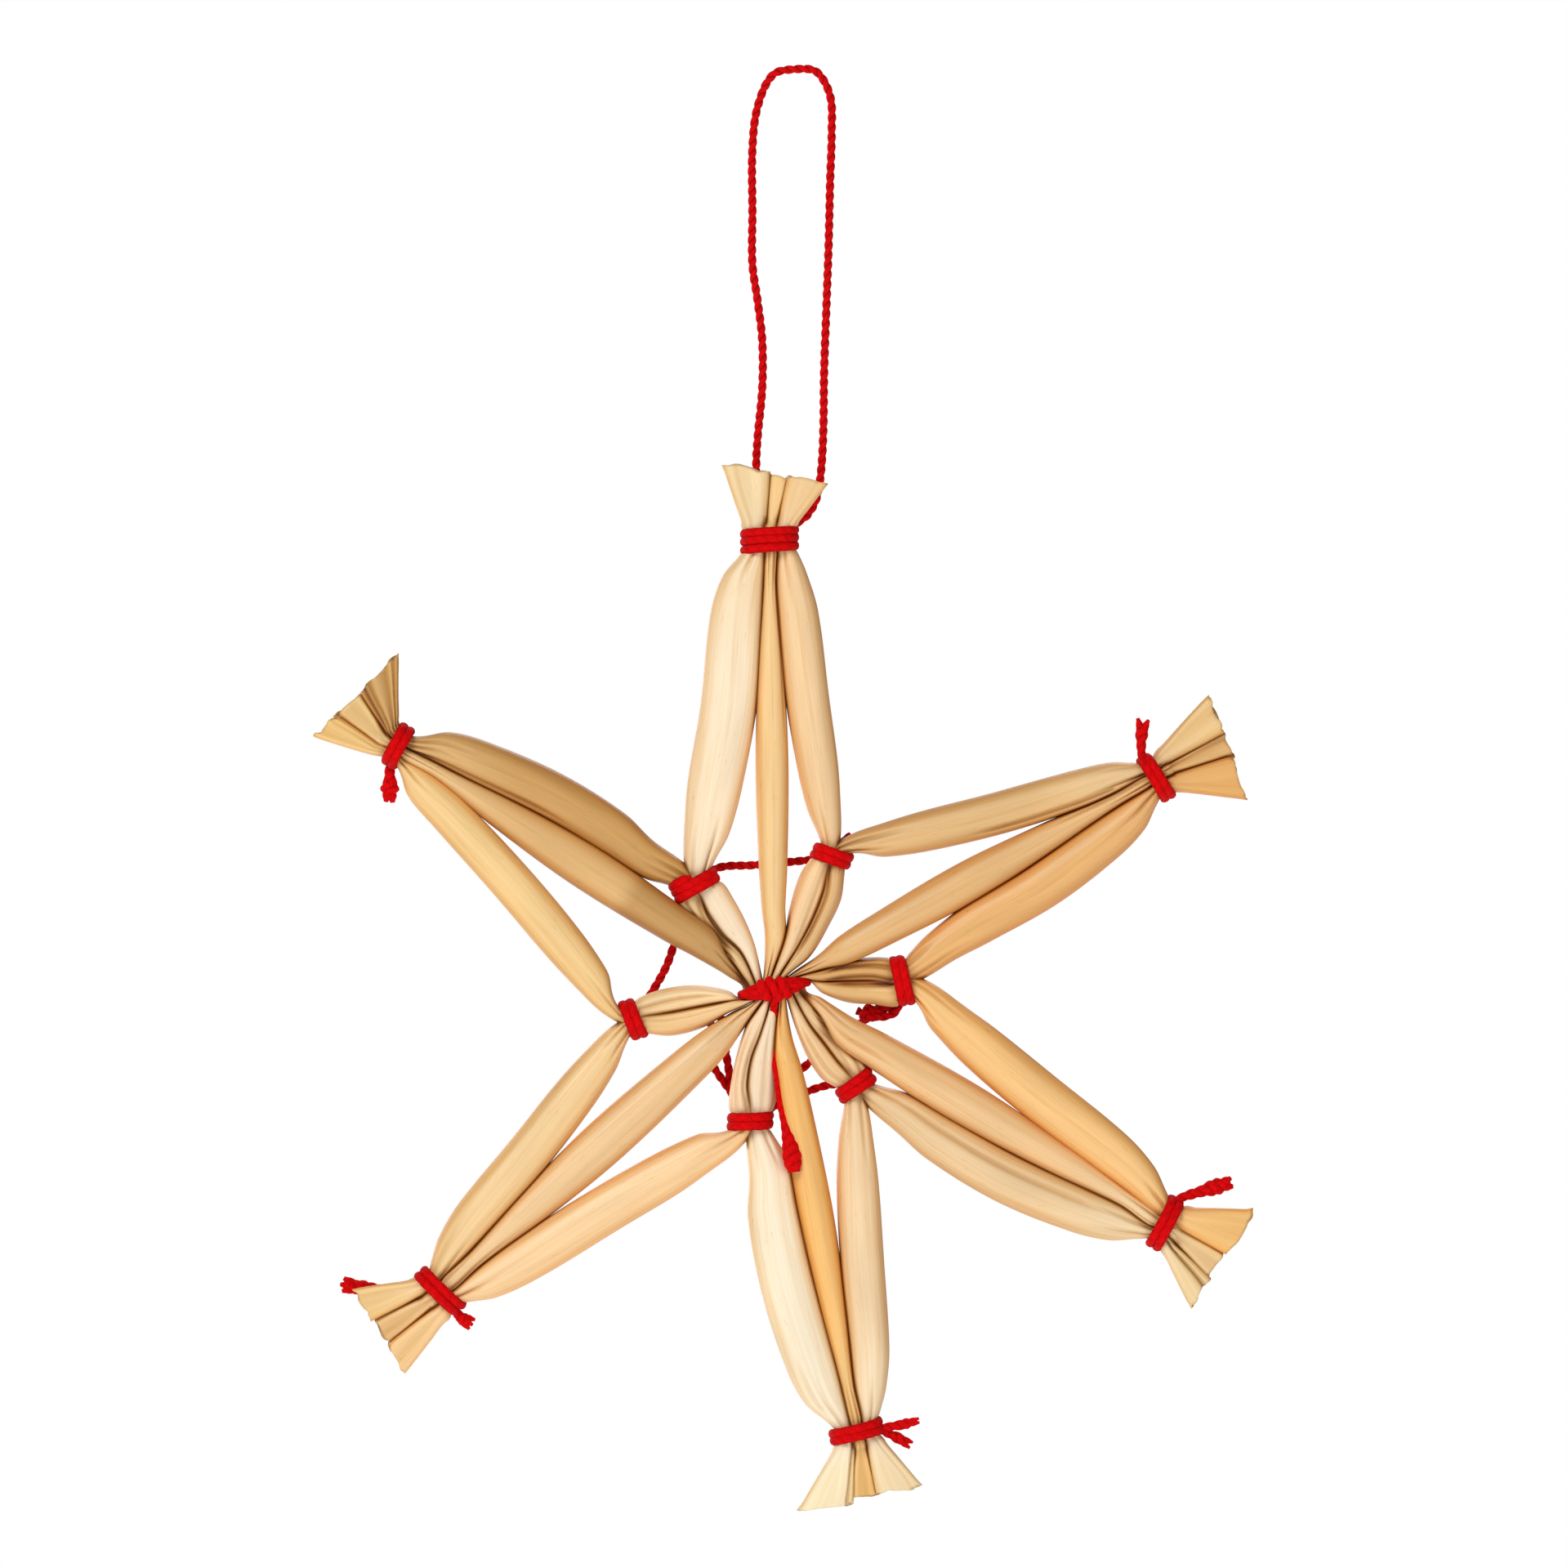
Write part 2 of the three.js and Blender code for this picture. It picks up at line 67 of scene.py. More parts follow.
# The six sectors, clockwise from the upper left point, with headings in degrees clockwise from up.
# A point has its tie near the tip and the fringe beyond it: the half width and the length of the
# fringe on the anticlockwise side (before) and the clockwise side (after), and how far the straw on
# the anticlockwise side is drawn in towards the middle one (hug). A fringe has the shares that its
# three straws take, how far each is cut past the straight cut line, and how it is turned.
# A waist is the inner tie clockwise of the point, and its shares are those of its two straws.
# Widths and roots are those of the middle straw and the two straws that leave the waist.
SECTORS = [
    {
        "point": {
            "heading": -57.2, "reach": 29.6, "tie": 3.1,
            "before": (2.5, 5.1), "after": (5.2, 3.2), "hug": 0.4,
        },
        "fringe": {"shares": (0.26, 0.28, 0.46), "steps": (-0.1, 0, 0.1), "turns": (8, 0, -7)},
        "waist": {"heading": -37.2, "reach": 8.7, "tie": 3.3, "tilt": 12, "shares": (0.34, 0.66)},
        "widths": (3.0, 3.1, 3.8),
        "roots": (-66, -51, -34),
    },
    {
        "point": {"heading": -0.6, "reach": 29.7, "tie": 3.9, "before": (3.1, 5.1), "after": (3.9, 3.6)},
        "fringe": {"shares": (0.45, 0.17, 0.38), "steps": (0, -0.1, 0.05), "turns": (6, 0, -8)},
        "waist": {"heading": 23.5, "reach": 9.6, "tie": 2.7, "tilt": 0, "shares": (0.6, 0.4)},
        "widths": (2.2, 2.9, 2.8),
        "roots": (1, 21, 38),
    },
    {
        "point": {
            "heading": 61.1, "reach": 28.9, "tie": 3.5,
            "before": (3.1, 5.5), "after": (4.2, 4.7), "hug": 0.35,
        },
        "fringe": {"shares": (0.36, 0.22, 0.42), "steps": (0.1, 0.15, -0.1), "turns": (9, 3, -9)},
        "waist": {"heading": 86.5, "reach": 8.5, "tie": 3.3, "tilt": -6, "shares": (0.5, 0.5)},
        "widths": (2.7, 3.1, 3.3),
        "roots": (61, 75, 88),
    },
    {
        "point": {"heading": 121, "reach": 30.1, "tie": 3.8, "before": (3.8, 4.6), "after": (3.9, 4.3)},
        "fringe": {"shares": (0.45, 0.25, 0.3), "steps": (0.15, -0.05, 0.1), "turns": (8, -4, -8)},
        "waist": {"heading": 140, "reach": 8.4, "tie": 2.8, "tilt": 10, "shares": (0.5, 0.5)},
        "widths": (2.9, 3.3, 2.9),
        "roots": (111, 127, 143),
    },
    {
        "point": {"heading": 169.5, "reach": 29.8, "tie": 3.7, "before": (3.6, 4.5), "after": (4.8, 4.2)},
        "fringe": {"shares": (0.36, 0.2, 0.44), "steps": (-0.1, 0.0, 0.35), "turns": (9, 4, -6)},
        "waist": {"heading": 190.3, "reach": 8.9, "tie": 3.0, "tilt": -8, "shares": (0.66, 0.34)},
        "widths": (2.3, 3.6, 3.2),
        "roots": (170, 188, 206),
    },
    {
        "point": {"heading": 227.9, "reach": 29.8, "tie": 3.9, "before": (2.5, 5.4), "after": (3.9, 4.1)},
        "fringe": {"shares": (0.34, 0.29, 0.37), "steps": (0.05, 0, 0.1), "turns": (8, 2, -8)},
        "waist": {"heading": 257.7, "reach": 9.6, "tie": 2.7, "tilt": -5, "shares": (0.5, 0.5)},
        "widths": (3.1, 3.0, 2.9),
        "roots": (229, 249, 261),
    },
]
ROOTS = [root for sector in SECTORS for root in sector["roots"]]

# The eighteen half straws, clockwise from the middle of the upper left point. Each has the tone of
# its skin, and some have another one inside the waist (inner) or towards the tip. Turns are degrees
# round the straw: 0 faces clockwise, 90 the front. Bundle creases run from the centre to the waist:
# a turn and a depth, which also sets how dark their painted shade is. Long ones also say between
# which distances from the centre they run. Pleats run along the fringe. Every crease has painted
# shade in it. Slits are painted shade on the edges of a fringe: a turn, a half width in degrees and
# a darkness.
HALVES = [
    {"tone": (224, 180, 120), "inner": (199, 153, 92), "tip": (240, 204, 148),
     "pleats": [(90, 0.2)], "slits": [(46, 24, 0.7), (136, 24, 0.6)]},
    {"tone": (207, 159, 94), "inner": (232, 198, 146), "tip": (220, 178, 118),
     "bundle": [(116, 0.34), (62, 0.3)], "long": [(140, 0.3, 17, 29)],
     "pleats": [(58, 0.4), (84, 0.5), (112, 0.45)], "slits": [(136, 18, 0.7)]},
    {"tone": (254, 232, 199), "tip": (247, 220, 178),
     "bundle": [(146, 0.35)], "pleats": [(100, 0.14)]},
    {"tone": (247, 207, 147),
     "long": [(35, 0.25, 16, 29)], "slits": [(44, 26, 0.8), (134, 28, 0.85)]},
    {"tone": (246, 209, 160),
     "bundle": [(62, 0.16)], "pleats": [(75, 0.16)]},
    {"tone": (228, 186, 128), "tip": (238, 201, 148),
     "bundle": [(118, 0.42)], "long": [(48, 0.4, 18, 29)], "pleats": [(96, 0.12)]},
    {"tone": (231, 185, 125), "long": [(125, 0.2, 20, 29)],
     "pleats": [(98, 0.35)], "slits": [(44, 26, 0.85), (134, 28, 0.85)]},
    {"tone": (233, 180, 113), "inner": (218, 170, 106),
     "bundle": [(60, 0.4), (112, 0.46)], "pleats": [(84, 0.14)]},
    {"tone": (249, 200, 133), "inner": (234, 188, 124),
     "bundle": [(126, 0.5)], "pleats": [(86, 0.12)]},
    {"tone": (240, 197, 143), "tip": (246, 213, 165), "long": [(78, 0.3, 2, 9)],
     "pleats": [(92, 0.2)], "slits": [(46, 18, 0.4), (136, 28, 0.85)]},
    {"tone": (238, 203, 155), "tip": (246, 218, 174),
     "bundle": [(62, 0.24), (116, 0.28)], "long": [(112, 0.3, 9, 27)],
     "pleats": [(108, 0.7)], "slits": [(108, 15, 0.8)]},
    {"tone": (245, 213, 169), "inner": (249, 215, 166), "tip": (251, 228, 192),
     "bundle": [(78, 0.27)], "pleats": [(110, 0.16)]},
    {"tone": (247, 193, 116), "tip": (246, 204, 140),
     "pleats": [(92, 0.25)], "slits": [(46, 18, 0.45), (136, 26, 0.8)]},
    {"tone": (255, 238, 208), "inner": (249, 227, 196),
     "bundle": [(98, 0.14)], "long": [(64, 0.2, 24, 29)], "pleats": [(134, 0.5)]},
    {"tone": (251, 212, 160), "inner": (253, 225, 188),
     "bundle": [(66, 0.26), (118, 0.28)], "pleats": [(90, 0.14)]},
    {"tone": (241, 202, 150),
     "pleats": [(94, 0.25)], "slits": [(44, 28, 0.5), (136, 28, 0.5)]},
    {"tone": (246, 209, 153),
     "bundle": [(70, 0.14)], "pleats": [(76, 0.16)]},
    {"tone": (245, 207, 145), "inner": (252, 222, 174),
     "bundle": [(88, 0.32)], "pleats": [(100, 0.2), (66, 0.2)]},
]

CENTRE_TIE = {"tilt": 8, "slot_pitch": 0.45, "half_length": 2.53, "half_depth": 1.75}
STRAWS = 9
MIDDLE_SLOT = 4  # of the nine places under the centre tie, counted from 0 at the left
SLOT_EDGE = 0.36  # how far, in slots, a straw's outer edge is from the middle of its slot
SLOT_FILL = 1.25  # the straws press into each other under the tie
CENTRE_PINCH = 0.46  # how far above and below the middle of the centre tie the straws stay pinched
ROOT_REACH = 3.2  # where the straws have just left the centre tie
ROOT_DEPTH = 2.0
ROOT_FILL = 1.22  # the roots press into each other too
WIDEST_FAN = 20  # degrees that one straw takes at its root, at most
BUNDLE_WIDTH = 3.15  # of the two half straws between the centre and a waist
BUNDLE_DEPTH = 2.2
BUNDLE_OVERLAP = 0.12  # of its two half straws
BUNDLE_BACK = 0.3  # how far behind the middle straws the bundles lie
BELLY_DEPTH = 2.5
PINCH_DEPTH = 1.8
FRINGE_DEPTH = 1.1
THREAD = 0.56  # thickness of the red thread
TIP_TIE_HEIGHT = 1.7
WAIST_TIE_HEIGHT = 1.35
TIE_SQUEEZE = 0.95  # of a straw's share of the tie, in the middle of it
TIP_FLARE = 1.5  # how much wider a straw is at the edges of a tie than in the middle of it
WAIST_FLARE = 1.8
TIE_SHARE = 0.7  # how much of the difference between the three straws of a fringe shows in its tie
TAPER = 13  # the length over which a middle straw narrows towards its tip tie
WALL = 0.14  # of a straw, where its cut end shows it
GAP = 0.04  # between the straws and the centre tie

# Sections of the fringe beyond a tie: a share of the way out, the thickness and the flatness.
FLAP_SECTIONS = ((0.1, 1.7, 0.1), (0.4, 1.4, 0.6), (0.75, 1.15, 1.0), (1, FRINGE_DEPTH, 1.0))

# Sections of an outer straw between its waist and its tip tie: a share of the way, the fullness of
# its width and the depth.
RUN_SECTIONS = (
    (0.13, 0.8, BELLY_DEPTH * 0.9), (0.26, 0.96, BELLY_DEPTH * 0.97), (0.5, 1, BELLY_DEPTH),
    (0.76, 0.92, BELLY_DEPTH * 0.97), (0.88, 0.74, BELLY_DEPTH * 0.9),
)


def heading(degrees):
    """A unit vector in the plane of the star, clockwise from up as seen from the front."""
    turn = math.radians(degrees)
    return Vector((math.sin(turn), 0, math.cos(turn)))


def at(degrees, along, aside=0.0, back=0.0):
    """A point at a distance along a heading, to its clockwise side and behind the star."""
    place = heading(degrees) * along + heading(degrees + 90) * aside
    place.y = back
    return place


def clamp(value, low=0.0, high=1.0):
    return max(low, min(high, value))


def ease(t):
    """A share from 0 to 1 that starts and ends gently."""
    t = clamp(t)
    return t * t * (3 - 2 * t)


def blend(low, high, t):
    return low + (high - low) * t


def linear(channel):
    """A channel of a paint chart's colour, 0 to 255, as the shader reads it."""
    return ((channel / 255 + 0.055) / 1.055) ** 2.4


# ---------------------------------------------------------------- curves through stations


def knots_along(places):
    """Distances from the first place to each place, as if they were joined by straight lines."""
    knots = [0.0]
    for here, there in zip(places, places[1:]):
        knots.append(knots[-1] + max((there - here).length, 1e-6))
    return knots


def slopes_through(values, knots):
    """The slope of a smooth curve at each of its values, from the values on both sides."""
    slopes = []
    last = len(values) - 1
    for i in range(len(values)):
        before, after = max(i - 1, 0), min(i + 1, last)
        slopes.append((values[after] - values[before]) / (knots[after] - knots[before]))
    return slopes


def tamed(values, slopes):
    """Slopes that let a curve rise and fall between its values but never past them."""
    calm = []
    for i, slope in enumerate(slopes):
        inner = 0 < i < len(values) - 1
        if inner and (values[i] - values[i - 1]) * (values[i + 1] - values[i]) <= 0:
            slope = 0.0
        calm.append(slope)
    return calm


def curve_value(values, slopes, knots, distance):
    """A smooth curve through the values, at a distance along the knots."""
    i = 0
    while i < len(knots) - 2 and distance > knots[i + 1]:
        i += 1
    span = knots[i + 1] - knots[i]
    t = clamp((distance - knots[i]) / span)
    start = values[i] * (2 * t**3 - 3 * t**2 + 1) + slopes[i] * (span * (t**3 - 2 * t**2 + t))
    end = values[i + 1] * (3 * t**2 - 2 * t**3) + slopes[i + 1] * (span * (t**3 - t**2))
    return start + end


def smooth_route(points, step):
    """Evenly spaced places on a smooth curve through the points."""
    knots = knots_along(points)
    slopes = slopes_through(points, knots)
    count = max(2, math.ceil(knots[-1] / step))
    return [curve_value(points, slopes, knots, knots[-1] * i / count) for i in range(count + 1)]


# ---------------------------------------------------------------- a straw's stations

SIZES = ("width", "depth", "flatness", "turn")


def station(place, across, width, depth, flatness=0.0, turn=0.0, held=False):
    """A place along a straw, the way its width faces, its section there, and if a tie holds it."""
    return {
        "place": place, "across": across, "width": width, "depth": depth,
        "flatness": flatness, "turn": turn, "held": held,
    }


def straw_and_way(half_index):
    """The straw that a half belongs to, and 1 for its upper half or -1 for its lower one."""
    if half_index < STRAWS:
        return half_index, 1
    return 2 * STRAWS - 1 - half_index, -1


def slot_place(slot, above):
    """The middle of a slot under the centre tie."""
    return at(90 - CENTRE_TIE["tilt"], (slot - MIDDLE_SLOT) * CENTRE_TIE["slot_pitch"], -above)


def slot_depth(slot):
    """The room from front to back that the oval centre tie leaves in a slot."""
    half_length = CENTRE_TIE["half_length"] - THREAD
    half_depth = CENTRE_TIE["half_depth"] - THREAD
    edge = (abs(slot - MIDDLE_SLOT) + SLOT_EDGE) * CENTRE_TIE["slot_pitch"]
    return 2 * half_depth * math.sqrt(1 - (edge / half_length) ** 2) - 2 * GAP


def fan_width(root):
    """How wide a half straw is where it leaves the centre, pressed against its neighbours."""
    order = ROOTS.index(root)
    gaps = []
    for neighbour in (ROOTS[order - 1], ROOTS[(order + 1) % len(ROOTS)]):
        turn = abs(neighbour - root)
        gaps.append(min(turn, 360 - turn))
    return math.radians(min(*gaps, WIDEST_FAN)) * ROOT_REACH * ROOT_FILL


def inner_stations(slot, way, root):
    """Stations under the centre tie and where the half straw leaves it."""
    across = heading(90 - CENTRE_TIE["tilt"]) * way
    width = CENTRE_TIE["slot_pitch"] * SLOT_FILL
    depth = slot_depth(slot)
    return [
        station(slot_place(slot, 0), across, width, depth),
        station(slot_place(slot, CENTRE_PINCH * way), across, width, depth),
        station(at(root, ROOT_REACH), heading(root + 90), fan_width(root), ROOT_DEPTH),
    ]


def in_tie(centre, degrees, aside, width, depth, height, flare):
    """Three stations through a tie, which squeezes a straw the most at its middle."""
    across = heading(degrees + 90)
    stations = []
    for along, fullness in ((-0.5, flare), (0, TIE_SQUEEZE), (0.5, flare)):
        place = centre + at(degrees, along * height, aside * (1 + 0.5 * abs(along)))
        thickness = depth * (0.85 + 0.15 * fullness)
        stations.append(station(place, across, width * fullness, thickness, held=along == 0))
    return stations


def lane_in_tie(sector, lane):
    """The offset and the width of one of the three straws that lie side by side in a tip tie."""
    inside = sector["point"]["tie"] - 2 * THREAD
    shares = [blend(1 / 3, share, TIE_SHARE) for share in sector["fringe"]["shares"]]
    share = shares[lane + 1]
    return (sum(shares[: lane + 1]) + share / 2 - 0.5) * inside, share * inside


def tip_stations(sector, lane):
    """Stations in the tie near a tip and in the fringe. lane is -1, 0 or 1, clockwise."""
    point, fringe = sector["point"], sector["fringe"]
    # The middle straw is the deepest, and lies behind the other two, which cover its edges.
    if lane == 0:
        depth, overlap, back = PINCH_DEPTH + 0.3, 0.55, 0.3
    else:
        depth, overlap, back = PINCH_DEPTH, 0.1, -0.12
    across = heading(point["heading"] + 90)
    half_before, length_before = point["before"]
    half_after, length_after = point["after"]
    cut_start = at(point["heading"], point["reach"] + length_before, -half_before)
    cut_end = at(point["heading"], point["reach"] + length_after, half_after)
    cut = (cut_end - cut_start).normalized()
    share = fringe["shares"][lane + 1]
    middle = sum(fringe["shares"][: lane + 1]) + share / 2
    width = (half_before + half_after) * share + overlap
    base_width = point["tie"] - 0.5
    base = at(point["heading"], point["reach"] + 0.8, (middle - 0.5) * base_width, back * 0.4)
    end = cut_start.lerp(cut_end, middle) + at(point["heading"], fringe["steps"][lane + 1], 0, back)
    flap = []
    for out, thickness, flatness in FLAP_SECTIONS:
        girth = blend(base_width * share + overlap * 0.6, width, out)
        facing = across.lerp(cut, out).normalized()
        turn = fringe["turns"][lane + 1] * out
        flap.append(station(base.lerp(end, out), facing, girth, thickness, flatness, turn))
    tie = at(point["heading"], point["reach"])
    aside, squeezed = lane_in_tie(sector, lane)
    return [
        *in_tie(tie, point["heading"], aside, squeezed, depth, TIP_TIE_HEIGHT, TIP_FLARE),
        *flap,
    ]


def middle_width(sector, reach):
    """The width of a point's middle straw at a distance from the centre."""
    from_tie = max(sector["point"]["reach"] - reach - 0.6, 0)
    squeezed = lane_in_tie(sector, 0)[1] * 1.2
    return blend(squeezed, sector["widths"][0], ease(from_tie / TAPER) ** 0.9)


def middle_half(slot, way, sector):
    """A half straw that runs straight from the centre to the middle of a point."""
    point = sector["point"]
    across = heading(point["heading"] + 90)

    def on_axis(reach, fullness, depth, back):
        place = at(point["heading"], reach, 0, back)
        return station(place, across, middle_width(sector, reach) * fullness, depth)

    return [
        *inner_stations(slot, way, sector["roots"][0]),
        on_axis(5.4, 0.72, BELLY_DEPTH * 0.85, -0.5),
        on_axis(8, 0.86, BELLY_DEPTH * 0.88, -0.6),
        on_axis(14.5, 1, BELLY_DEPTH, -0.15),
        on_axis(point["reach"] - 8, 1, BELLY_DEPTH * 0.9, 0.15),
        on_axis(point["reach"] - 3.2, 1, BELLY_DEPTH * 0.8, 0.1),
        *tip_stations(sector, 0),
    ]


def outer_half(slot, way, sector, target, side):
    """A half straw through a waist and out to a point beside it. side is -1 or 1, clockwise."""
    waist, point = sector["waist"], target["point"]
    lane = -side
    order = 1 if side < 0 else 2
    width, root = sector["widths"][order], sector["roots"][order]
    pitch = (waist["tie"] - 2 * THREAD) / 2
    centre = at(waist["heading"], waist["reach"])
    across = heading(waist["heading"] + 90)

    girth = BUNDLE_WIDTH * waist["shares"][order - 1] + BUNDLE_OVERLAP
    aside = side * (BUNDLE_WIDTH - girth) / 2
    fork = at((sector["roots"][1] + sector["roots"][2]) / 2, ROOT_REACH)
    bundle = []
    for out, fullness in ((0.3, 0.9), (0.62, 1)):
        place = fork.lerp(centre, out) + across * aside * fullness + BACK * BUNDLE_BACK
        bundle.append(station(place, across, girth * fullness, BUNDLE_DEPTH))
    turned = waist["heading"] + waist["tilt"]
    in_waist = in_tie(
        centre, turned, side * pitch / 2, pitch, PINCH_DEPTH, WAIST_TIE_HEIGHT, WAIST_FLARE
    )

    start = in_waist[-1]["place"]
    end = at(point["heading"], point["reach"], lane_in_tie(target, lane)[0])
    course = end - start
    along_run = heading(math.degrees(math.atan2(course.x, course.z)) + 90)
    run = []
    for out, fullness, depth in RUN_SECTIONS:
        place = start.lerp(end, out)
        along = place.dot(heading(point["heading"]))
        room = middle_width(target, along) / 2 + width * fullness / 2 - 0.1
        hug = point.get("hug", 0) * math.sin(math.pi * out) if lane < 0 else 0
        beside = max(abs(place.dot(heading(point["heading"] + 90))) - hug, room)
        place = at(point["heading"], along, lane * beside)
        run.append(station(place, along_run, width * fullness, depth))

    return [
        *inner_stations(slot, way, root),
        *bundle,
        *in_waist,
        *run,
        *tip_stations(target, lane),
    ]


def half_stations():
    """The stations of the eighteen half straws, in the order of HALVES."""
    halves = []
    for index, sector in enumerate(SECTORS):
        after = SECTORS[(index + 1) % len(SECTORS)]
        middle, first, second = (straw_and_way(3 * index + order) for order in range(3))
        halves.append(middle_half(*middle, sector))
        halves.append(outer_half(*first, sector, sector, -1))
        halves.append(outer_half(*second, sector, after, 1))
    return halves


# ---------------------------------------------------------------- meshes


def marked_bmesh():
    """An empty bmesh with the layers that the finishes read."""
    bm = bmesh.new()
    bm.loops.layers.uv.new("lengthwise")
    bm.verts.layers.float_color.new("tone")
    # Painted shade: in creases, in crevices between straws, next to ties, in hollow ends and thread
    # grooves.
    bm.verts.layers.float.new("crease")
    # How far round to the side of a straw a place is, which the finish darkens as painted shade.
    bm.verts.layers.float.new("flank")
    return bm


def wrapped_grid(rows, sides):
    """A flat grid to be wrapped into a tube, as a bmesh, with its vertices by row and column."""
    bm = marked_bmesh()
    bmesh.ops.create_grid(bm, x_segments=sides, y_segments=rows - 1, size=0.5, calc_uvs=False)
    table = [[None] * (sides + 1) for _ in range(rows)]
    for vert in bm.verts:
        column = round((vert.co.x + 0.5) * sides)
        row = round((vert.co.y + 0.5) * (rows - 1))
        table[row][column] = vert
    return bm, table


def write_uvs(bm, table, around, along):
    """Puts the distance round a tube and along it, in millimetres, on every corner of its faces."""
    layer = bm.loops.layers.uv["lengthwise"]
    spot = {}
    for row, verts in enumerate(table):
        for column, vert in enumerate(verts):
            spot[vert] = (around * column / (len(verts) - 1), along[row])
    for face in bm.faces:
        for loop in face.loops:
            loop[layer].uv = spot[loop.vert]


def close_tube(bm):
    """Joins a wrapped grid along its seam, fills its ends and turns its faces outward."""
    bmesh.ops.remove_doubles(bm, verts=bm.verts, dist=2e-7)
    bmesh.ops.holes_fill(bm, edges=[edge for edge in bm.edges if edge.is_boundary], sides=0)
    bmesh.ops.recalc_face_normals(bm, faces=bm.faces)


def piece_from(bm, name, material, node):
    """Makes a bmesh a piece on the star's body, in place of its CAD node."""
    mesh = bpy.data.meshes.new(name)
    bm.to_mesh(mesh)
    bm.free()
    mesh.shade_smooth()
    mesh.materials.append(material)
    piece = bpy.data.objects.new(name, mesh)
    bpy.context.scene.collection.objects.link(piece)
    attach(piece, "root")
    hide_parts(node)
    return piece


# ---------------------------------------------------------------- creases

TIE_COVER = 0.75  # how far on each side of its middle a tie's thread covers the straw
BUNDLE_SPREAD = 20
LONG_SPREAD = 13
PAST_END = 9  # past the cut end, so that the creases of a fringe don't fade before it


def crease(turn, spread, depth, start, end, rise, fall, dark=None, edge=1.8):
    """A crease by its turn round the straw and its half width, in degrees, its depth as a share of
    the straw's radius, where along the half straw it starts, ends and fades, how dark its painted
    shade is and how sharply that painted shade falls off to its sides."""
    return {
        "turn": math.radians(turn), "spread": math.radians(spread), "depth": depth,
        "start": start, "end": end, "rise": rise, "fall": fall,
        "dark": depth * 0.8 if dark is None else dark, "edge": edge,
    }


def tie_creases(rng, tie, way):
    """Creases that fan out of a tie along the straw. way is 1 outward and -1 to the centre."""
    found = []
    for facing in (90, 270):
        count = rng.choice((1, 2, 2))
        for i in range(count):
            turn = facing + (i - (count - 1) / 2) * (104 / count) + rng.uniform(-12, 12)
            length = rng.uniform(2.2, 5.6)
            depth = rng.uniform(0.22, 0.45)
            spread = rng.uniform(13, 20)
            inside, outside = tie - way * TIE_COVER, tie + way * (TIE_COVER + length)
            if way > 0:
                found.append(crease(turn, spread, depth, inside, outside, rise=0.4, fall=length))
            else:
                found.append(crease(turn, spread, depth, outside, inside, rise=length, fall=0.4))
    return found


def half_creases(rng, half):
    """All the creases of a half straw."""
    tip_tie = half["ties"][-1]
    past_end = half["rows"][-1]["along"] + PAST_END
    found = tie_creases(rng, tip_tie, -1)
    if "bundle" in half:
        waist = half["ties"][0]
        found += tie_creases(rng, waist, 1)
        for turn, depth in half["bundle"]:
            for mirrored in (turn, 360 - turn):
                found.append(crease(mirrored, BUNDLE_SPREAD, depth, 1.6, waist + 0.4, rise=2.4, fall=0.4))
    else:
        for facing in (90, 270):
            length = rng.uniform(3.5, 6.5)
            turn = facing + rng.uniform(-30, 30)
            found.append(crease(turn, 17, 0.35, 0.3, length, rise=0.6, fall=length - 1))
    for turn, depth, first, last in half.get("long", ()):
        fall = 3 if last < 28 else 0.5
        found.append(crease(turn, LONG_SPREAD, depth, first, last, rise=3, fall=fall))
    for turn, depth in half.get("pleats", ()):
        spread = 16 if depth > 0.3 else 26
        for mirrored in (turn, 360 - turn):
            found.append(crease(mirrored, spread, depth, tip_tie, past_end, rise=0.5, fall=0.5))
    # Painted shade on the edges of the fringe, where its flaps part.
    for turn, spread, dark in half.get("slits", ()):
        for mirrored in (turn, 360 - turn):
            found.append(crease(mirrored, spread, 0.3, tip_tie, past_end, 2.4, 0.5, dark, edge=1.1))
    return found


def creases_at(creases, along):
    """The creases that press into a straw at one distance: turn, half width, depth, darkness of the
    painted shade, edge.
    """
    pressed = []
    for fold in creases:
        risen = ease((along - fold["start"]) / fold["rise"])
        strength = risen * ease((fold["end"] - along) / fold["fall"])
        if strength > 0.02:
            spread = fold["spread"] * (0.5 + 0.5 * strength)
            dark = fold["dark"] * strength**0.8
            pressed.append((fold["turn"], spread, fold["depth"] * strength, dark, fold["edge"]))
    return pressed


def skin_at(pressed, turn):
    """How deep a straw's skin is pressed in at a turn, and how dark the painted shade of the crease is
    there.
    """
    deep, dark = 0.0, 0.0
    for middle, spread, depth, darkness, edge in pressed:
        apart = abs((turn - middle + math.pi) % (2 * math.pi) - math.pi)
        if apart < spread:
            near = 1 - apart / spread
            deep = max(deep, depth * near**1.5)
            dark = max(dark, darkness * near**edge)
    return deep, dark


# ---------------------------------------------------------------- straws

STRAW_SIDES = 72
STRAW_STEP = 0.24
SKIN_AROUND = 9.5  # the skin's length round a straw, for the fibres
SWELLING = 0.035  # how uneven the skin is, as a share of the radius
TONE_CHANGE = 0.07
HOLLOW_DEPTH = 3.0
HOLLOW_ROWS = 9
HOLLOW_SHADE = 0.3
HOLLOW_SHIFT = 0.7  # sets the fibres in the hollow apart from the skin's
RAGGED_LENGTH = 0.6  # of the cut end
RAGGED_STEP = 0.3
# Painted shade next to the ties and in the crevices between straws.
TIE_SHADE = 0.3
TIE_SHADE_REACH = 0.25
CREVICE = 0.32  # how near a neighbour shades a straw
CREVICE_SHADE = 0.85
SEARCH_REACH = 4.2  # further than any neighbour's axis
USUAL_WAIST = 10.5  # how far from the centre the inner tone of a straw reaches, at most
FRINGE_TINT = (0.99, 0.985, 0.9)  # the flattened ends are a little more golden


